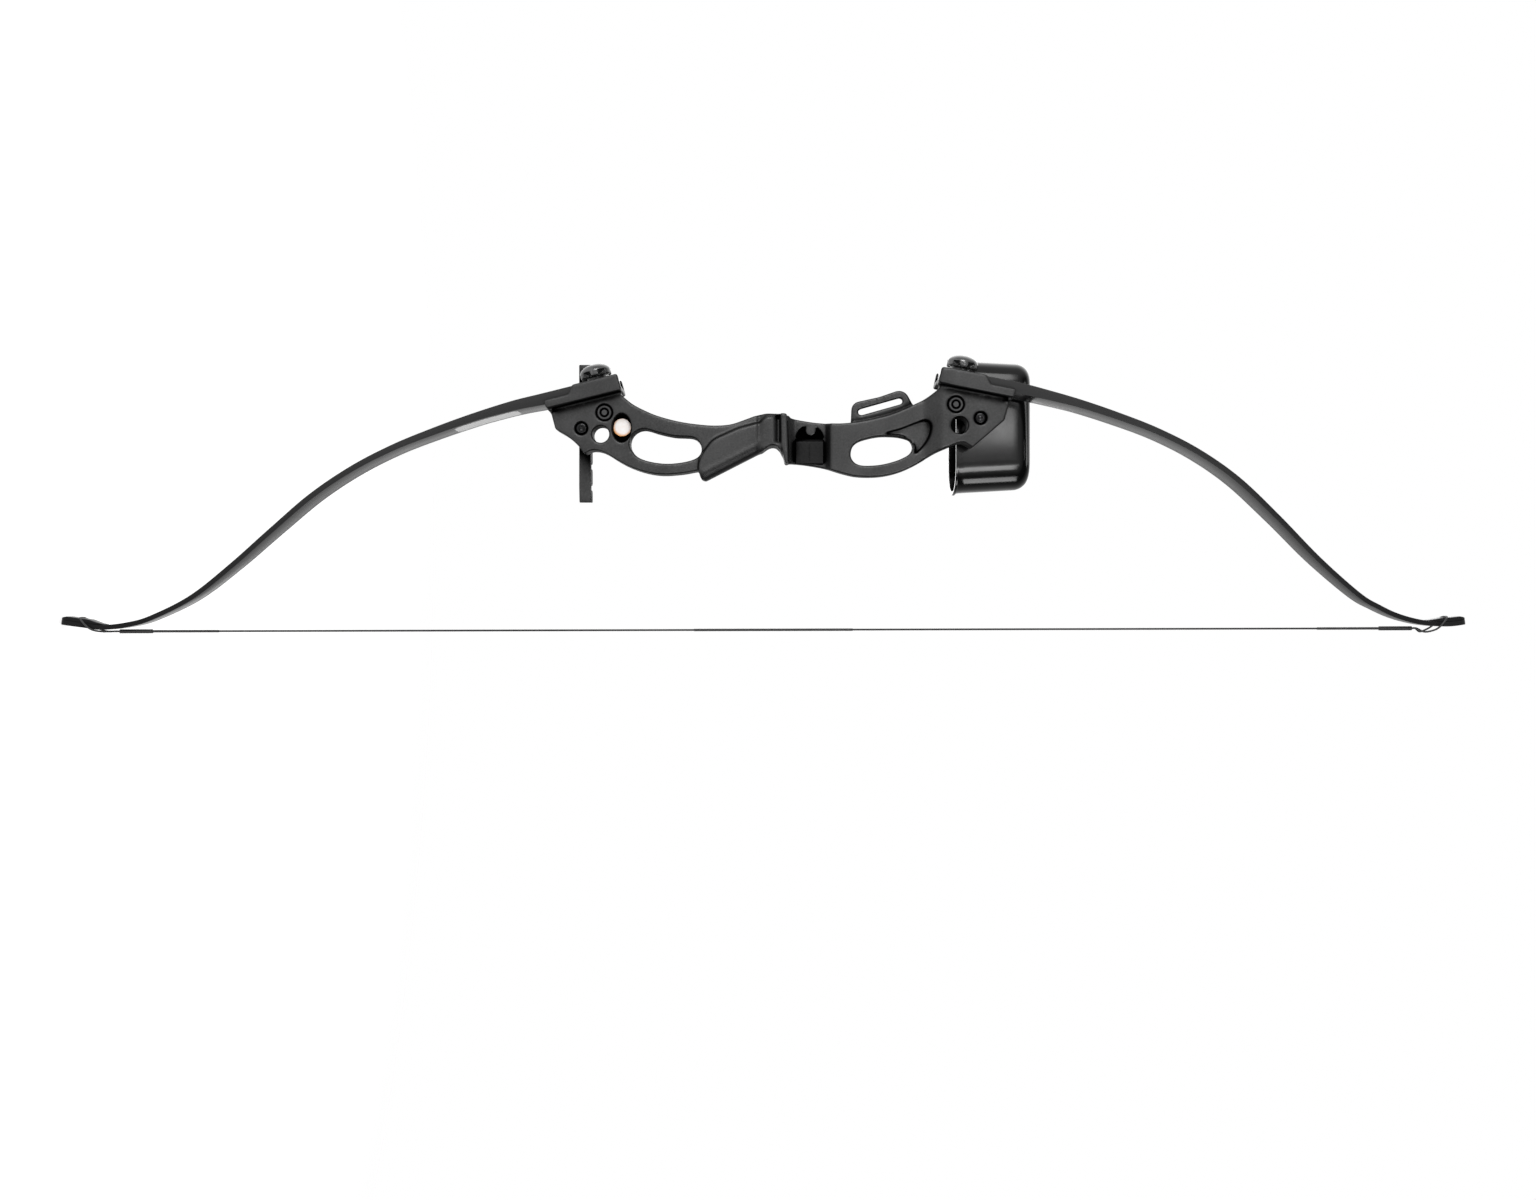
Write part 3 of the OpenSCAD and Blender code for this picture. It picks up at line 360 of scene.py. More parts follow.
def glossy(name, dark, light, rough, streak=0.0, stretch=(1, 1, 1), side_rough=0.0, dents=0.08,
           ior=1.5, side_shine=0.5, painted_tip_shine=1.0):
    """Smooth black lacquer or moulding with faint handling marks, duller on the sides of the bow, and with
    painted shade that dims its reflections towards its tips."""
    material, t, shader = new_material(name)
    scaled = t.node("ShaderNodeMapping", Vector=t.object_place())
    scaled.inputs["Scale"].default_value = stretch
    slow = t.noise(35.0, 3.0, 0.5, scaled.outputs[0])
    marks = t.noise(420.0, 6.0, 0.65, scaled.outputs[0])
    t.link(t.mix(t.spread(slow, 0.0, 1.0), grey(dark), grey(light)), shader.inputs["Base Color"])
    haze = t.math("ADD", t.spread(slow, rough, rough + 0.06), t.spread(marks, 0.0, streak, 0.5, 0.75))
    square = squareness(t, "True Normal")
    t.link(t.math("ADD", haze, t.spread(square, 0.0, side_rough, 0.5, 0.8)), shader.inputs["Roughness"])
    # Painted shade: the sheen is dimmed towards the bow's tips, as if the studio's light fell off there.
    painted_tip_shade = t.spread(from_middle(t, "Z"), 1.0, painted_tip_shine, 0.35, 0.58)
    sheen = t.math("MULTIPLY", t.spread(square, 0.5, side_shine, 0.5, 0.8), painted_tip_shade)
    t.link(sheen, shader.inputs["Specular IOR Level"])
    t.link(t.bump(marks, dents, 0.00004), shader.inputs["Normal"])
    shader.inputs["IOR"].default_value = ior
    return material


def metal(name, tone, rough):
    """Machined or blackened steel with fine lines from turning."""
    material, t, shader = new_material(name)
    lines = t.noise(2600.0, 3.0, 0.6)
    slow = t.noise(160.0, 3.0)
    t.link(t.mix(t.spread(slow, 0.0, 1.0), grey(tone * 0.8), grey(tone * 1.15)), shader.inputs["Base Color"])
    t.link(t.spread(lines, rough - 0.06, rough + 0.1), shader.inputs["Roughness"])
    t.link(t.bump(lines, 0.15, 0.00003), shader.inputs["Normal"])
    shader.inputs["Metallic"].default_value = 1.0
    return material


def fibre(name, dark, light, rough):
    """Waxed strands or wound thread: fine fibres with a soft sheen."""
    material, t, shader = new_material(name)
    fuzz = t.noise(1800.0, 4.0, 0.7)
    slow = t.noise(90.0, 3.0)
    tone = t.mix(t.spread(fuzz, 0.0, 1.0), grey(dark), grey(light))
    t.link(t.mix(t.spread(slow, 0.0, 0.4), tone, grey(dark * 0.6)), shader.inputs["Base Color"])
    t.link(t.spread(fuzz, rough - 0.08, rough + 0.08), shader.inputs["Roughness"])
    t.link(t.bump(fuzz, 0.4, 0.00005), shader.inputs["Normal"])
    shader.inputs["Sheen Weight"].default_value = 0.1
    return material


def open_foam(name):
    """Charcoal foam full of small cells, each darker towards its pit: painted shade."""
    material, t, shader = new_material(name)
    cells = t.node("ShaderNodeTexVoronoi", Vector=t.object_place())
    cells.inputs["Scale"].default_value = 650.0
    depth = cells.outputs["Distance"]
    slow = t.noise(60.0, 3.0)
    # Painted shade: each cell is darker towards its pit, where the bump sinks it.
    tone = t.mix(t.spread(depth, 0.0, 1.0, 0.05, 0.6), grey(0.012), grey(0.06))
    t.link(t.mix(t.spread(slow, 0.0, 0.4), tone, grey(0.03)), shader.inputs["Base Color"])
    t.link(t.spread(depth, 0.85, 1.0, 0.0, 0.6), shader.inputs["Roughness"])
    t.link(t.bump(depth, 0.8, 0.0006), shader.inputs["Normal"])
    return material


def printed_blank(name, paper, rim, rim_start, rim_end, centre, coat=0.0):
    """Blank printed film: plain in the middle, tinted towards its rim."""
    material, t, shader = new_material(name)
    away = t.node("ShaderNodeVectorMath", Vector=t.object_place())
    away.operation = "SUBTRACT"
    away.inputs[1].default_value = centre
    distance = t.node("ShaderNodeVectorMath", Vector=away.outputs[0])
    distance.operation = "LENGTH"
    blotch = t.noise(300.0, 3.0)
    tone = t.mix(t.spread(distance.outputs["Value"], 0.0, 1.0, rim_start, rim_end), paper, rim)
    t.link(t.mix(t.spread(blotch, 0.0, 0.12), tone, rim), shader.inputs["Base Color"])
    t.link(t.spread(blotch, 0.3, 0.42), shader.inputs["Roughness"])
    t.link(t.bump(blotch, 0.1, 0.00003), shader.inputs["Normal"])
    shader.inputs["Coat Weight"].default_value = coat
    shader.inputs["Coat Roughness"].default_value = 0.12
    return material


def make_materials():
    """Every finish of the bow by a short name."""
    disc_middle, label_middle = (0.0193, 0.004, -0.1343), (0.0, 0.0, -0.25)
    disc_paper, disc_rim = (0.95, 0.93, 0.92, 1), (0.80, 0.36, 0.10, 1)
    label_paper, label_rim = (0.95, 0.95, 0.94, 1), (0.92, 0.92, 0.92, 1)
    lengthwise = (1, 1, 0.2)
    return {
        "riser": moulded("riser_plastic", 0.006, 0.009, 0.40),
        "plate": moulded("side_plate_plastic", 0.004, 0.006, 0.5, 900.0, shine=0.15),
        "badge": printed_blank("blank_disc", disc_paper, disc_rim, 0.0064, 0.0088, disc_middle),
        # The limb's sheen is dimmed to a quarter at its tips: painted shade.
        "limb": glossy("limb_laminate", 0.010, 0.014, 0.2, 0.08, lengthwise, 0.3, 0.03, side_shine=0.3,
                       painted_tip_shine=0.25),
        "label": printed_blank("blank_label", label_paper, label_rim, 0.02, 0.05, label_middle, coat=1.0),
        "black_steel": metal("black_steel", 0.05, 0.34),
        "bright_steel": metal("bright_steel", 0.62, 0.3),
        "knob": moulded("knob_plastic", 0.020, 0.030, 0.16, 500.0, shine=1.0, deepest=0.35, rim=1.0),
        "screw": metal("screw_steel", 0.02, 0.2),
        "nut": moulded("barrel_nut_black", 0.015, 0.020, 0.42, 1100.0),
        "string": fibre("bowstring", 0.006, 0.020, 0.7),
        "serving": fibre("serving", 0.006, 0.022, 0.5),
        "hood": glossy("hood_plastic", 0.002, 0.003, 0.12, 0.03, dents=0.015, ior=1.4),
        "foam": open_foam("foam"),
        "rubber": moulded("gripper_rubber", 0.014, 0.020, 0.7, 700.0, 0.0001),
        "mark": moulded("mark_paint", 0.009, 0.012, 0.6),
    }


# Shapes that several pieces share

def angles(steps):
    """A full turn in equal steps."""
    return [2 * math.pi * k / steps for k in range(steps)]


def add_mesh(name, points, faces, material, smooth=True):
    """A piece from points in metres and faces that it turns outwards."""
    mesh = bpy.data.meshes.new(name)
    mesh.from_pydata([tuple(p) for p in points], [], faces)
    mesh.validate()
    piece = bpy.data.objects.new(name, mesh)
    bpy.context.scene.collection.objects.link(piece)
    mesh.materials.append(material)
    work = bmesh.new()
    work.from_mesh(mesh)
    bmesh.ops.recalc_face_normals(work, faces=work.faces)
    work.to_mesh(mesh)
    work.free()
    for face in mesh.polygons:
        face.use_smooth = smooth
    return piece


def sharpen(piece, degrees=35):
    """Shades the piece smooth except over edges sharper than that."""
    work = bmesh.new()
    work.from_mesh(piece.data)
    limit = math.radians(degrees)
    for edge in work.edges:
        edge.smooth = not (len(edge.link_faces) == 2 and edge.calc_face_angle(0) > limit)
    work.to_mesh(piece.data)
    work.free()
    return piece


def finish_piece(piece, body, slot, *replaced):
    """Attaches the piece to its body and hides the CAD nodes that it stands for.
    Its slot is not used.
    """
    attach(piece, body)
    if replaced:
        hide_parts(*replaced)


def loft(rings):
    """Points and faces through rings that have as many points each, closed at both ends."""
    n = len(rings[0])
    points = [p for ring in rings for p in ring]
    faces = [(i * n + k, i * n + (k + 1) % n, (i + 1) * n + (k + 1) % n, (i + 1) * n + k)
             for i in range(len(rings) - 1) for k in range(n)]
    faces += [tuple(range(n)), tuple(reversed(range((len(rings) - 1) * n, len(rings) * n)))]
    return points, faces


def bow_point(end, u, v, y=0.0):
    """The point u out along a limb's butt, v towards the bow's back and y across, in metres."""
    lean = math.radians(POCKET_LEAN[end])
    z = NUT_AT[end][0] + u * math.cos(lean) + v * math.sin(lean)
    x = NUT_AT[end][1] - u * math.sin(lean) + v * math.cos(lean)
    return Vector((x, y, -z if end == LOWER else z)) * MM


def spline(points, steps):
    """Catmull-Rom curve through points of any dimension."""
    pts = [np.array(p, float) for p in points]
    pts = [2 * pts[0] - pts[1]] + pts + [2 * pts[-1] - pts[-2]]
    out = []
    for a, b, c, d in zip(pts, pts[1:], pts[2:], pts[3:]):
        for s in range(steps):
            t = s / steps
            out.append(0.5 * (2 * b + (c - a) * t + (2 * a - 5 * b + 4 * c - d) * t * t
                              + (3 * b - a - 3 * c + d) * t ** 3))
    out.append(pts[-2])
    return out


def sweep(path, section, aside=(0, 1, 0)):
    """Rings of section(distance) offsets, as (a, b) pairs, square to the path."""
    path = [Vector(p) for p in path]
    rings = []
    travelled = 0.0
    for i, p in enumerate(path):
        if i:
            travelled += (p - path[i - 1]).length
        t = (path[min(i + 1, len(path) - 1)] - path[max(i - 1, 0)]).normalized()
        a = t.cross(Vector(aside)).normalized()
        b = t.cross(a)
        rings.append([p + a * u + b * v for u, v in section(travelled)])
    return rings


# Riser: the CAD solid as a distance field, so that its edges and inner corners can be rounded

def distance_field(node, cell, band):
    """Signed distances in cells to a CAD node's surface, as a dense block, and the block's corner."""
    mesh = node.data
    mesh.calc_loop_triangles()
    points = np.zeros(len(mesh.vertices) * 3, np.float32)
    mesh.vertices.foreach_get("co", points)
    triangles = np.zeros(len(mesh.loop_triangles) * 3, np.int32)
    mesh.loop_triangles.foreach_get("vertices", triangles)
    points = points.reshape(-1, 3) / cell
    grid = vdb.FloatGrid.createLevelSetFromPolygons(
        points, triangles=triangles.reshape(-1, 3).astype(np.uint32), halfWidth=float(band))
    low = np.floor(points.min(0)).astype(int) - band - 2
    high = np.ceil(points.max(0)).astype(int) + band + 2
    block = np.full(tuple(high - low), float(band), np.float32)
    grid.copyToArray(block, ijk=tuple(int(v) for v in low))
    return block, low


def blurred(block, sigma):
    """Gaussian blur along the three axes. It leaves flat faces in place and rounds the edges."""
    reach = int(math.ceil(2.5 * sigma))
    weights = np.exp(-0.5 * (np.arange(-reach, reach + 1) / sigma) ** 2)
    weights /= weights.sum()
    for axis in range(3):
        padding = [(reach, reach) if a == axis else (0, 0) for a in range(3)]
        wide = np.pad(block, padding, mode="edge")
        total = np.zeros_like(block)
        for k, w in enumerate(weights):
            part = [slice(None)] * 3
            part[axis] = slice(k, k + block.shape[axis])
            total += np.float32(w) * wide[tuple(part)]
        block = total
    return block


def ramp(value, start, end):
    """0 up to start, 1 from end on, and a smooth rise between them."""
    t = np.clip((value - start) / (end - start), 0, 1)
    return t * t * (3 - 2 * t)


def field_normals(field, points):
    """Directions in which the field rises, at points that are given in cells."""
    base = np.clip(np.floor(points).astype(int), 1, np.array(field.shape) - 3)
    part = points - base
    total = np.zeros_like(points)
    for corner in np.ndindex(2, 2, 2):
        at = base + corner
        share = np.prod(np.where(corner, part, 1 - part), axis=1)
        for axis in range(3):
            step = np.eye(3, dtype=int)[axis]
            rise = field[tuple((at + step).T)] - field[tuple((at - step).T)]
            total[:, axis] += share * rise
    return total / np.maximum(np.linalg.norm(total, axis=1, keepdims=True), 1e-9)


def soft_share(x, y, z):
    """1 where the grip and the ramps of the window flow into the plate. Everything else keeps its edges."""
    grip = ramp(z, -0.072, -0.064) * (1 - ramp(z, 0.002, 0.009)) * ramp(np.abs(y), 0.011, 0.0125)
    grip = grip * (1 - ramp(z - 0.55 * x, -0.0005, 0.03))
    window = ramp(z, 0.136, 0.142) * (1 - ramp(z, 0.16, 0.166)) * ramp(y, -0.002, 0.003)
    return np.clip(grip + window, 0, 1).astype(np.float32)


def thumb_valleys(x, y, z):
    """Depth in millimetres of the valley between grip and shelf and of the one between palm and throat."""
    shelf_depth, shelf_z = 2.6, 0.0086
    palm_depth, palm_z, palm_wide = 0.9, -0.0088, 0.0024
    shelf_wide = np.where(z < shelf_z, 0.0030, 0.0019)
    valley = shelf_depth * np.exp(-((z - shelf_z) / shelf_wide) ** 2)
    valley = valley * ramp(x, 0.001, 0.006) * (1 - ramp(x, 0.026, 0.031))
    valley = valley + palm_depth * np.exp(-((z - palm_z) / palm_wide) ** 2) * ramp(x, 0.002, 0.010)
    return valley * ramp(y, 0.008, 0.011)


def riser_shape(material):
    """The riser with rounded edges and with the shallow valleys of its thumb rest."""
    cell = 0.5 * MM
    reach, crisp_blur, soft_blur = 4.5 * MM, 1.0 * MM, 1.5 * MM
    band = math.ceil(reach / cell)
    block, low = distance_field(NODES["riser"], cell, band)
    crisp = blurred(block, crisp_blur / cell)
    soft = blurred(block, soft_blur / cell)
    places = np.ogrid[:block.shape[0], :block.shape[1], :block.shape[2]]
    x, y, z = [(place + corner) * cell for place, corner in zip(places, low)]
    share = soft_share(x, y, z)
    field = crisp * (1 - share) + soft * share
    field = field + (thumb_valleys(x, y, z) * MM / cell).astype(np.float32)
    grid = vdb.FloatGrid(float(band))
    grid.copyFromArray(field)
    points, triangles, quads = grid.convertToPolygons(isovalue=0.0, adaptivity=0.02)
    faces = [tuple(f) for f in triangles.tolist()] + [tuple(f) for f in quads.tolist()]
    piece = add_mesh("riser_body", ((points + low) * cell).tolist(), faces, material)
    piece.data.normals_split_custom_set_from_vertices(field_normals(field, points).tolist())
    finish_piece(piece, "riser", "riser_plastic", "riser")


# Limbs

def looked_up(u, pairs):
    """The value at u on straight lines through (place, value) pairs."""
    return float(np.interp(u, [pair[0] for pair in pairs], [pair[1] for pair in pairs]))


def limb_half_width(end, u):
    """Half of the limb's width, with its round tip and the notches for the string."""
    notch_at, notch_half, notch_depth, least = NOCK_U[end] - 4.5, 6.0, 1.3, 0.4
    tip = LIMB_DROP[end][-1][0]
    wide = looked_up(u, HALF_WIDTH)
    from_end = tip - u
    if from_end < TIP_W / 2:
        wide = min(wide, math.sqrt(max(0.0, (TIP_W / 2) ** 2 - (TIP_W / 2 - from_end) ** 2)))
    off = (u - notch_at) / notch_half
    if abs(off) < 1:
        wide -= notch_depth * math.cos(off * math.pi / 2) ** 2
    return max(wide, least)


def limb_line(end):
    """Back face of the limb from its butt to its tip, as (u, v) stations, closer together at the tip."""
    points = [(FLEX_U, BACK_RISE)] + [(u, BACK_RISE - drop) for u, drop in LIMB_DROP[end]]
    line = [(u, BACK_RISE) for u in (BUTT_U, BUTT_U + 1.0, 0, 18, 36, 48)]
    line += [tuple(p) for p in spline(points, 10)]
    tip = points[-1][0]
    dense = []
    for a, b in zip(line, line[1:]):
        dense.append(a)
        parts = 3 if b[0] > tip - 34 else 1
        if b[0] > tip - TIP_W / 2:
            parts = 6
        dense += [tuple(np.array(a) + (np.array(b) - a) * s / parts) for s in range(1, parts)]
    dense.append(line[-1])
    return dense


def limb_section(half, low, high, soft):
    """Rounded rectangle as (y, height) pairs."""
    r = min(soft, half * 0.6, (high - low) * 0.45)
    out = []
    for cy, cv, start in ((half - r, high - r, 0), (-half + r, high - r, 90), (-half + r, low + r, 180),
                          (half - r, low + r, 270)):
        for s in range(4):
            a = math.radians(start + 30 * s)
            out.append((cy + r * math.cos(a), cv + r * math.sin(a)))
    return out


def limb_frames(end):
    """Stations of a limb's back, each with the direction square to it, in (u, v)."""
    line = limb_line(end)
    out = []
    for i, p in enumerate(line):
        a = np.array(line[max(i - 1, 0)])
        b = np.array(line[min(i + 1, len(line) - 1)])
        t = (b - a) / np.linalg.norm(b - a)
        if p[0] <= FLEX_U:
            t = np.array((1.0, 0.0))
        out.append((np.array(p), np.array((-t[1], t[0]))))
    return out


def across_limb(end, place, up, section):
    """A ring in metres from (y, height) pairs at a station of the limb."""
    ring = []
    for y, height in section:
        u, v = place + up * height
        ring.append(bow_point(end, u, v, y))
    return ring


def limb(end, materials):
    """A limb in one piece from its butt to its tip, curved beyond its pocket."""
    name = END_NAMES[end]
    edge, butt_chamfer = 0.45, 0.8
    rings = []
    for place, up in limb_frames(end):
        half = limb_half_width(end, place[0])
        if place[0] < BUTT_U + 0.5:
            half -= butt_chamfer
        section = limb_section(half, -looked_up(place[0], THICKNESS), 0.0, edge)
        rings.append(across_limb(end, place, up, section))
    piece = sharpen(add_mesh(f"{name}_limb_body", *loft(rings), materials["limb"]), 25)
    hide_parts(f"{name}_limb", f"{name}_limb_butt")
    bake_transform(piece)


def tip_overlay(end, materials):
    """Wedge on the back of a limb's tip, thin and narrow where it starts."""
    name = END_NAMES[end]
    edge, sunk = 1.0, 0.15
    tip = LIMB_DROP[end][-1][0]
    start = tip - OVERLAY_LEN[end]
    rings = []
    for place, up in limb_frames(end):
        u = place[0]
        if u < start:
            continue
        rise = OVERLAY_T * min(1, 0.06 + (u - start) / 16, 0.5 + (tip - u) / 12)
        half = limb_half_width(end, u) * min(1, 0.55 + (u - start) / 30)
        rings.append(across_limb(end, place, up, limb_section(half, -sunk, rise, edge)))
    piece = add_mesh(f"{name}_tip_cap", *loft(rings), materials["limb"])
    finish_piece(piece, f"{name}_limb", "limb_laminate", f"{name}_tip_overlay")


def limb_label(materials):
    """Blank film on the lower limb's belly, with round corners."""
    half, thick, corner = LIMB_W / 2 - LABEL_MARGIN, 0.25, 3.0
    frames = [f for f in limb_frames(LOWER) if LABEL_SPAN[0] <= f[0][0] <= LABEL_SPAN[1]]
    first, last = frames[0][0][0], frames[-1][0][0]
    rings = []
    for place, up in frames:
        near_end = min(place[0] - first, last - place[0])
        wide = half
        if near_end < corner:
            wide = half - corner + math.sqrt(corner ** 2 - (corner - near_end) ** 2)
        belly = -looked_up(place[0], THICKNESS)
        section = ((wide, belly), (-wide, belly), (-wide, belly - thick), (wide, belly - thick))
        rings.append(across_limb(LOWER, place, up, section))
    piece = sharpen(add_mesh("lower_limb_film", *loft(rings), materials["label"]))
    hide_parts("lower_limb_label")
    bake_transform(piece)


# Bowstring

def back_height(end, u):
    """Height of a limb's back at a distance from its bolt."""
    return looked_up(u, [(FLEX_U, BACK_RISE)] + [(a, BACK_RISE - b) for a, b in LIMB_DROP[end]])


def loop_join(end):
    """Where the legs of a loop meet, as (u, v)."""
    lean = math.radians(POCKET_LEAN[end])
    reach, drop = LOOP_REACH[end], LOOP_DROP[end]
    v = back_height(end, NOCK_U[end])
    return (NOCK_U[end] - reach * math.cos(lean) + drop * math.sin(lean),
            v - reach * math.sin(lean) - drop * math.cos(lean))


def loop_route(end):
    """The loop's way round the tip, as (u, v, y), from one leg to the other."""
    u, v = NOCK_U[end], back_height(end, NOCK_U[end])
    side = looked_up(u, HALF_WIDTH) + STRING_D / 2
    ju, jv = loop_join(end)
    lean = math.radians(POCKET_LEAN[end])
    out = (math.cos(lean), math.sin(lean))
    half = [(ju + 0.2 * out[0], jv + 0.2 * out[1], STRING_D / 2 + 0.05),
            (ju + 4 * out[0], jv + 4 * out[1], 1.5),
            (u - 17, v - TIP_T - 8.4, side * 0.62),
            (u - 10, v - TIP_T - 5.2, side + 0.6),
            (u - 5, v - TIP_T - 0.5, side + 0.2),
            (u - 1, v + OVERLAY_T * 0.55, side - 0.5),
            (u + 0.6, v + OVERLAY_T + 0.5, side * 0.6),
            (u + 1, v + OVERLAY_T + 0.9, side * 0.2)]
    return half + [(a, b, -y) for a, b, y in reversed(half)]


def thread_tube(path, radius, pitch, depth, aside=(0, 1, 0)):
    """A tube with one thread wound round it, from close rings whose ridge turns once in each pitch."""
    sides = 12

    def section(travelled):
        ring = []
        for k in range(sides):
            a = 2 * math.pi * k / sides
            r = radius - depth + depth * math.cos(2 * math.pi * (travelled / pitch - k / sides))
            ring.append((r * math.cos(a), r * math.sin(a)))
        return ring

    return loft(sweep(path, section, aside))


def straight(a, b, step):
    """Points from a to b, at least a step apart."""
    n = max(2, int((Vector(b) - Vector(a)).length / step))
    return [Vector(a).lerp(Vector(b), i / n) for i in range(n + 1)]


def string_line(end):
    """Where a half of the string leaves its loop, and the nocking point."""
    joins = [bow_point(e, *loop_join(e)) for e in (LOWER, UPPER)]
    share = (NOCKING_Z * MM - joins[LOWER].z) / (joins[UPPER].z - joins[LOWER].z)
    return joins[end], joins[LOWER].lerp(joins[UPPER], share)


def string_strands(end, materials):
    """Eight twisted strands from the loop to the nocking point."""
    name = END_NAMES[end]
    strands, twist, step = 8, 14 * MM, 1.6 * MM

    def twisted(travelled):
        turn = 2 * math.pi * travelled / twist
        ring = []
        for a in angles(strands * 3):
            r = (STRING_D / 2) * (0.93 + 0.07 * math.cos(strands * a)) * MM
            ring.append((r * math.cos(a + turn), r * math.sin(a + turn)))
        return ring

    rings = sweep(straight(*string_line(end), step), twisted)
    piece = add_mesh(f"{name}_string_strands", *loft(rings), materials["string"])
    finish_piece(piece, f"{name}_string", "bowstring", f"{name}_string")


def winding(end, label, node, start, length, radius, pitch, materials):
    """Thread wound round the string from a place towards the nocking point."""
    thread, along = 0.06, (string_line(end)[1] - start).normalized()
    path = straight(start, start + along * length * MM, pitch * MM / 4)
    piece = add_mesh(label, *thread_tube(path, radius * MM, pitch * MM, thread * MM), materials["serving"])
    finish_piece(piece, f"{END_NAMES[end]}_string", "serving", node)


def string_windings(end, materials):
    """The bound stretch beside a loop, the end serving and a half of the centre serving."""
    name = END_NAMES[end]
    join, nock = string_line(end)
    along = (nock - join).normalized()
    served_r, thin, thick = STRING_D / 2 + SERVING_T, 0.55, 0.7
    winding(end, f"{name}_binding_thread", f"{name}_loop_binding", join,
            LOOP_BIND_LEN, LOOP_BIND_D / 2, thick, materials)
    winding(end, f"{name}_end_thread", f"{name}_end_serving", join + along * LOOP_BIND_LEN * MM,
            END_SERVING_LEN[end], served_r, thin, materials)
    centre_len = CENTRE_SERVING_LEN[end]
    winding(end, f"centre_thread_{name}", f"centre_serving_{name}", nock - along * centre_len * MM,
            centre_len, served_r, thin, materials)


def string_loop(end, materials):
    """The served loop round a limb's tip."""
    name = END_NAMES[end]
    pitch, thread = 0.9 * MM, 0.07 * MM
    route = [bow_point(end, *p) for p in spline(loop_route(end), 14)]
    aside = (-1, 0, -1 if end == LOWER else 1)
    piece = add_mesh(f"{name}_loop_thread", *thread_tube(route, STRING_D / 2 * MM, pitch, thread, aside),
                     materials["serving"])
    finish_piece(piece, f"{name}_string", "serving", f"{name}_string_loop")


# Limb bolts

def along_bolt(end, v, a, b):
    """A point v along the limb bolt, a out along the limb and b across the bow."""
    return bow_point(end, a, v, b)


def turned(name, end, profile, wave, material, steps):
    """A lathe shape round the limb bolt from (radius, height) pairs. wave(angle, height) scales radii."""
    rings = []
    for r, v in profile:
        ring = []
        for a in angles(steps):
            rr = r * wave(a, v)
            ring.append(along_bolt(end, v, rr * math.cos(a), rr * math.sin(a)))
        rings.append(ring)
    return add_mesh(name, *loft(rings), material)


def knob(end, materials):
    """Domed knob with six flutes on a narrow neck."""
    name = END_NAMES[end]
    base = BACK_RISE + WASHER_T
    radius, height, neck, skirt = 14.5, 15.5, 8.75, 7.5
    flutes, flute_half, flute_top, flute_depth, flute_foot = 6, 0.30, 4.8, 0.25, 3.5

    def scalloped(a, v):
        """Share of the radius that is left beside the flutes, which run out up the dome."""
        pitch = 2 * math.pi / flutes
        off = ((a + pitch / 2) % pitch - pitch / 2) / flute_half
        up = (v - base - flute_foot) / flute_top
        if abs(off) > 1 or up > 1 or v < base + flute_foot - 0.05:
            return 1.0
        return 1.0 - flute_depth * (1 - off * off) * math.sqrt(1 - max(up, 0) ** 2)

    profile = [(BORE_R, base + 0.2), (neck - 0.6, base + 0.2), (neck, base + 0.6), (neck, base + 2.8),
               (neck + 0.8, base + 3.4), (radius - 0.8, base + 3.5), (radius - 0.2, base + 3.9),
               (radius, base + 4.6), (radius, base + 5.5), (radius - 0.05, base + 6.4),
               (radius - 0.1, base + 7.2)]
    for s in range(1, 22):
        a = math.radians(4.2 * s)
        profile.append((radius * math.cos(a) ** 0.9, base + skirt + (height - skirt) * math.sin(a)))
    piece = turned(f"{name}_knob_cap", end, profile, scalloped, materials["knob"], 144)
    finish_piece(sharpen(piece, 50), f"{name}_knob", "knob_plastic", f"{name}_knob")


def ring_washer(end, materials):
    """Washer with rounded rims under the knob."""
    name = END_NAMES[end]
    outer, round_rim = 11, 0.4
    base, top = BACK_RISE, BACK_RISE + WASHER_T
    profile = [(BORE_R, base), (outer - round_rim, base), (outer, base + round_rim), (outer, top - round_rim),
               (outer - round_rim, top), (BORE_R, top)]
    piece = turned_ring(f"{name}_washer_ring", end, profile, materials["bright_steel"])
    finish_piece(sharpen(piece), f"{name}_washer", "bright_steel", f"{name}_washer")


def turned_ring(name, end, profile, material):
    """A ring round the limb bolt with a closed profile of (radius, height) pairs."""
    steps, n = 64, len(profile)
    points, faces = [], []
    for a in angles(steps):
        points += [along_bolt(end, v, r * math.cos(a), r * math.sin(a)) for r, v in profile]
    for k in range(steps):
        k2 = (k + 1) % steps
        faces += [(k * n + i, k * n + (i + 1) % n, k2 * n + (i + 1) % n, k2 * n + i) for i in range(n)]
    return add_mesh(name, points, faces, material)


def disc_along_y(name, at, profile, material):
    """A lathe shape round an axis across the bow at (z, x), from (radius, y) pairs, closed at both ends."""
    rings = [[Vector((at[1] + r * math.cos(a), y, at[0] + r * math.sin(a))) * MM for a in angles(64)]
             for r, y in profile]
    return sharpen(add_mesh(name, *loft(rings), material))


def barrel_nut(end, materials):
    """Nut across the riser, with a ring groove in its face."""
    name = END_NAMES[end]
    z, x = NUT_AT[end]
    at = (-z if end == LOWER else z, x)
    face, r = 12.0, 7.6
    profile = [(r - 0.8, -face + 0.1), (r, -face + 0.9), (r, face - 2.6), (r - 1.0, face - 2.2),
               (r - 1.15, face - 0.6), (r - 1.6, face - 0.2), (r * 0.62, face - 0.2), (r * 0.57, face - 0.5),
               (r * 0.54, face - 2.8), (r * 0.4, face - 2.8), (r * 0.37, face - 0.9), (r * 0.32, face - 0.5),
               (0.3, face - 0.45)]
    piece = disc_along_y(f"{name}_barrel_nut_face", at, profile, materials["nut"])
    finish_piece(piece, "riser", "black_steel", f"{name}_barrel_nut")


# Quiver

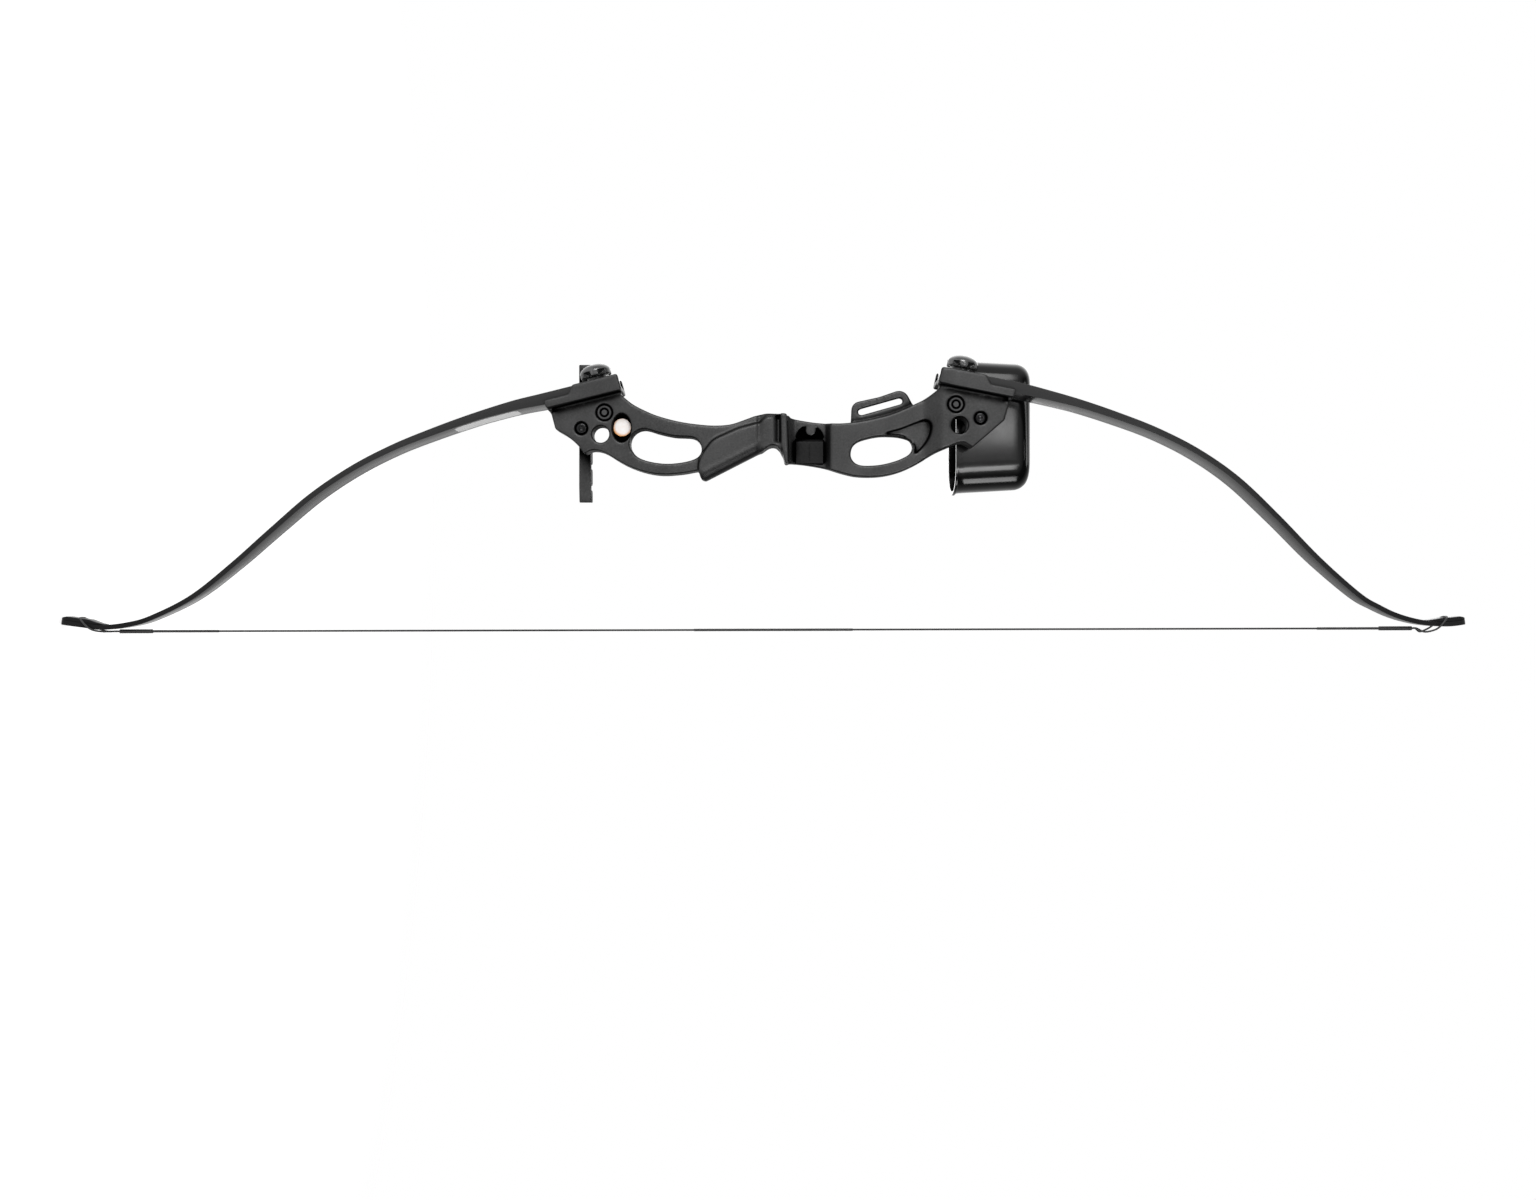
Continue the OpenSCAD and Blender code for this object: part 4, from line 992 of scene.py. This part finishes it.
def rounded_box(lo, hi, r_belly, r_back, z, steps=8):
    """Ring of a box with round corners in the plane z, from the corner at hi."""
    ring = []
    for cx, cy, r, start in ((hi[0], hi[1], r_back, 0), (lo[0], hi[1], r_belly, 90),
                             (lo[0], lo[1], r_belly, 180), (hi[0], lo[1], r_back, 270)):
        r = max(r, 0.4)
        ox = cx - r if start in (0, 270) else cx + r
        oy = cy - r if start in (0, 90) else cy + r
        for s in range(steps + 1):
            a = math.radians(start + 90 * s / steps)
            ring.append(Vector((ox + r * math.cos(a), oy + r * math.sin(a), z)) * MM)
    return ring


def quiver_hood(materials):
    """Open hood with a rim round its mouth and a rounded far end."""
    x0, x1, y0, y1 = -38.0, 87.0, -87.5, -25.5
    z0, length, wall, draft, end_r = 175.5, 71.5, 2.2, 3.0, 14.0
    rim_out, rim_t = 1.8, 2.6

    def ring(z, inset, taper):
        lo = (x0 + inset + taper, y0 + inset + taper)
        hi = (x1 - inset - taper, y1 - max(inset, 0))
        return rounded_box(lo, hi, 27 - inset, 20 - inset, z)

    def shell(inset):
        top = z0 + length - inset
        out = []
        straight_z = top - end_r
        for s in range(1, 9):
            z = z0 + rim_t + 0.6 + (straight_z - z0 - rim_t - 0.6) * s / 8
            out.append(ring(z, inset, draft * (z - z0) / (straight_z - z0)))
        for s in range(1, 10):
            a = math.radians(10 * s)
            out.append(ring(straight_z + end_r * math.sin(a), inset + end_r * (1 - math.cos(a)), draft))
        return out

    outer = [ring(z0 + 0.3, -rim_out + 0.3, 0), ring(z0 + 0.8, -rim_out, 0),
             ring(z0 + rim_t - 0.6, -rim_out, 0), ring(z0 + rim_t, -rim_out + 0.6, 0),
             ring(z0 + rim_t + 0.3, 0.0, 0)] + shell(0.0)
    inner = [ring(z0, -rim_out + 0.9, 0), ring(z0, wall - 0.4, 0), ring(z0 + 0.4, wall, 0)] + shell(wall)
    rings = list(reversed(inner)) + outer
    piece = sharpen(add_mesh("quiver_hood_shell", *loft(rings), materials["hood"]), 40)
    finish_piece(piece, "riser", "hood_plastic", "quiver_hood")


def hood_foam(materials):
    """Foam block with a slightly uneven face towards the hood's mouth."""
    lo, hi = (-32.4, -82.0), (81.4, -28.1)
    z_face, z_back = 205.9, 230.7
    rows = []
    for z, inset in ((z_back, 0.8), (z_back - 1, 0), (z_face + 1.2, 0), (z_face + 0.3, 0.6), (z_face, 1.6)):
        rows.append(rounded_box((lo[0] + inset, lo[1] + inset), (hi[0] - inset, hi[1] - inset),
                                24 - inset, 17 - inset, z, 5))
    centre = Vector(((lo[0] + hi[0]) / 2, (lo[1] + hi[1]) / 2, z_face)) * MM
    for share in (0.8, 0.6, 0.4, 0.2):
        rows.append([centre + (p - centre) * share for p in rows[4]])
    uneven = 0.0007
    for row in rows[5:]:
        for p in row:
            p.z += uneven * (1 + math.sin(900 * p.x) * math.sin(1100 * p.y))
    piece = add_mesh("hood_foam_block", *loft(rows), materials["foam"])
    finish_piece(piece, "riser", "foam", "hood_foam")


def round_edges(piece, bevel, segments):
    """Rounds every edge that is sharper than a slight bend."""
    bend = math.radians(30)
    work = bmesh.new()
    work.from_mesh(piece.data)
    edges = [e for e in work.edges if len(e.link_faces) == 2 and e.calc_face_angle(0) > bend]
    bmesh.ops.bevel(work, geom=edges, offset=bevel * MM, segments=segments, profile=0.5, affect="EDGES",
                    clamp_overlap=True)
    for f in work.faces:
        f.smooth = True
    work.to_mesh(piece.data)
    work.free()
    return sharpen(piece, 50)


def along_bow_prism(name, outline, z0, z1, bevel, material, segments=3):
    """A prism along the bow from [x, y] points in millimetres, with rounded edges."""
    points = [Vector((x, y, z)) * MM for z in (z0, z1) for x, y in outline]
    n = len(outline)
    faces = [tuple(reversed(range(n))), tuple(range(n, 2 * n))]
    faces += [(i, (i + 1) % n, (i + 1) % n + n, i + n) for i in range(n)]
    piece = add_mesh(name, points, faces, material)
    return round_edges(piece, bevel, segments)


def gripper_bar(materials):
    """Straight bar, thinner at one end."""
    low = BAR_Y - BAR_T
    outline = [(BAR_X, BAR_Y - 2.5), (BAR_X + 14, BAR_Y), (BAR_X + BAR_LEN, BAR_Y), (BAR_X + BAR_LEN, low),
               (BAR_X, low)]
    piece = along_bow_prism("gripper_bar_body", outline, BAR_Z - BAR_W / 2, BAR_Z + BAR_W / 2, 0.9,
                            materials["riser"])
    finish_piece(piece, "riser", "riser_plastic", "gripper_bar")


def gripper_rubber(materials):
    """Rubber strip behind the bar. Its six round seats open away from the riser."""
    depth, margin, notches, pitch, first = 16.0, 0.5, 6, 20, 14.5
    notch_r, mouth, lip = 3.2, 2.2, 2.6
    top = BAR_Y - BAR_T
    low = top - depth
    seat = low + depth * 0.42
    open_at = math.asin(mouth / notch_r)
    outline = [(BAR_X + 1, top), (BAR_X + 1, low)]
    for i in range(notches):
        cx = BAR_X + first + pitch * i
        outline += [(cx - 2 * mouth, low), (cx - mouth, low + lip)]
        for s in range(11):
            a = open_at + (2 * math.pi - 2 * open_at) * s / 10
            outline.append((cx - notch_r * math.sin(a), seat - notch_r * math.cos(a)))
        outline += [(cx + mouth, low + lip), (cx + 2 * mouth, low)]
    outline += [(BAR_X + BAR_LEN - 1, low), (BAR_X + BAR_LEN - 1, top)]
    piece = along_bow_prism("gripper_rubber_block", outline, BAR_Z - BAR_W / 2 + margin,
                            BAR_Z + BAR_W / 2 - margin, 0.5, materials["rubber"], 2)
    finish_piece(piece, "riser", "gripper_rubber", "gripper_rubber")


def socket_screw(name, node, at, seat, tail, materials):
    """Cap screw seen from its head: a rounded rim and a hexagon socket."""
    head, shank, tall, steps = 4.5, 2.5, 5.0, 48
    mouth, socket, socket_depth = 2.15, 1.95, 2.4
    top = seat + tall

    def hexagon(a, across):
        a = (a + math.pi / 6) % (math.pi / 3) - math.pi / 6
        return across / math.cos(a)

    plan = [(shank - 0.4, tail), (shank, tail + 0.4), (shank, seat), (head, seat), (head, top - 0.6),
            (head - 0.2, top - 0.2), (head - 0.6, top)]
    rings = [[(r, y)] * steps for r, y in plan]
    for across, y in ((mouth, top), (socket, top - 0.25), (socket, top - socket_depth)):
        rings.append([(hexagon(a, across), y) for a in angles(steps)])
    rings.append([(0.2, top - 3.0)] * steps)
    solid = [[Vector((at[1] + r * math.cos(a), y, at[0] + r * math.sin(a))) * MM
              for a, (r, y) in zip(angles(steps), ring)] for ring in rings]
    piece = sharpen(add_mesh(name, *loft(solid), materials["screw"]))
    finish_piece(piece, "riser", "black_steel", node)


# Small things on the riser

def side_plate(materials):
    """Plate in the arrow pass whose upper edge slopes back, with a faint ridge down its middle."""
    lo, hi, y, t = (24.5, -14.5), (50.0, 8.5), -1.0, 3.0
    section = [(lo[1], y), (hi[1], y), (hi[1] - t, y + t), (lo[1], y + t)]
    piece = along_bow_prism("side_plate_body", section, lo[0], hi[0], 0.6, materials["plate"])
    finish_piece(piece, "riser", "side_plate_plastic", "arrow_side_plate")
    foot, crest = y + t - 0.2, y + t + 0.25
    section = [(-12.5, foot), (3.5, foot), (3.2, crest), (-12.2, crest)]
    ridge = along_bow_prism("side_plate_ridge", section, 36.9, 37.7, 0.15, materials["plate"], 2)
    finish_piece(ridge, "riser", "side_plate_plastic")


def badge(materials):
    """Blank disc at the bottom of the oval pocket."""
    at, r, y = (-134.9, 18.5), 8.2, 4.0
    profile = [(r, y), (r, y + 0.3), (r - 0.2, y + 0.5), (r - 1.2, y + 0.55), (0.3, y + 0.6)]
    piece = disc_along_y("blank_disc_face", at, profile, materials["badge"])
    finish_piece(piece, "riser", "blank_disc", "riser_badge")


def sight_marks(materials):
    """Five short blank marks across the sight tab, above its slot."""
    marks, first, pitch = 5, 2.5, 7.2
    along = Vector((10.0, 0, 35.6)).normalized()
    out = Vector((35.6, 0, -10.0)).normalized()
    start = Vector((33.8, 0, 85.2)) + out * 6.2
    for i in range(marks):
        centre = start + along * (first + pitch * i)
        corners = []
        for y in (-4.05, -3.9):
            for a, b in ((-0.8, -1.6), (0.8, -1.6), (0.8, 1.6), (-0.8, 1.6)):
                corners.append((centre + along * a + out * b + Vector((0, y, 0))) * MM)
        faces = [(0, 3, 2, 1), (4, 5, 6, 7), (0, 1, 5, 4), (1, 2, 6, 5), (2, 3, 7, 6), (3, 0, 4, 7)]
        piece = add_mesh(f"sight_mark_{i + 1}", corners, faces, materials["mark"], False)
        finish_piece(piece, "riser", "side_plate_plastic")


def dress_cad_nodes(materials):
    """The CAD solids that stay visible get their finish."""
    chosen = {"lower_bolt": "bright_steel", "upper_bolt": "bright_steel",
              "lower_locating_pin": "bright_steel", "upper_locating_pin": "bright_steel",
              "hood_bracket": "hood", "hood_nut": "black_steel",
              "gripper_nut": "black_steel", "gripper_spacer": "riser"}
    for node, key in chosen.items():
        mesh = NODES[node].data
        mesh.materials.clear()
        mesh.materials.append(materials[key])


photo_camera()
studio()
materials = make_materials()
riser_shape(materials["riser"])
for end in (LOWER, UPPER):
    for build in (limb, tip_overlay, string_strands, string_windings, string_loop, knob, ring_washer,
                  barrel_nut):
        build(end, materials)
for build in (limb_label, quiver_hood, hood_foam, gripper_bar, gripper_rubber):
    build(materials)
socket_screw("hood_screw_body", "hood_screw", (193.5, 26.5), 6.0, -32.7, materials)
socket_screw("gripper_screw_body", "gripper_screw", (-171.5, 17.0), 6.0, -31.0, materials)
side_plate(materials)
badge(materials)
sight_marks(materials)
dress_cad_nodes(materials)
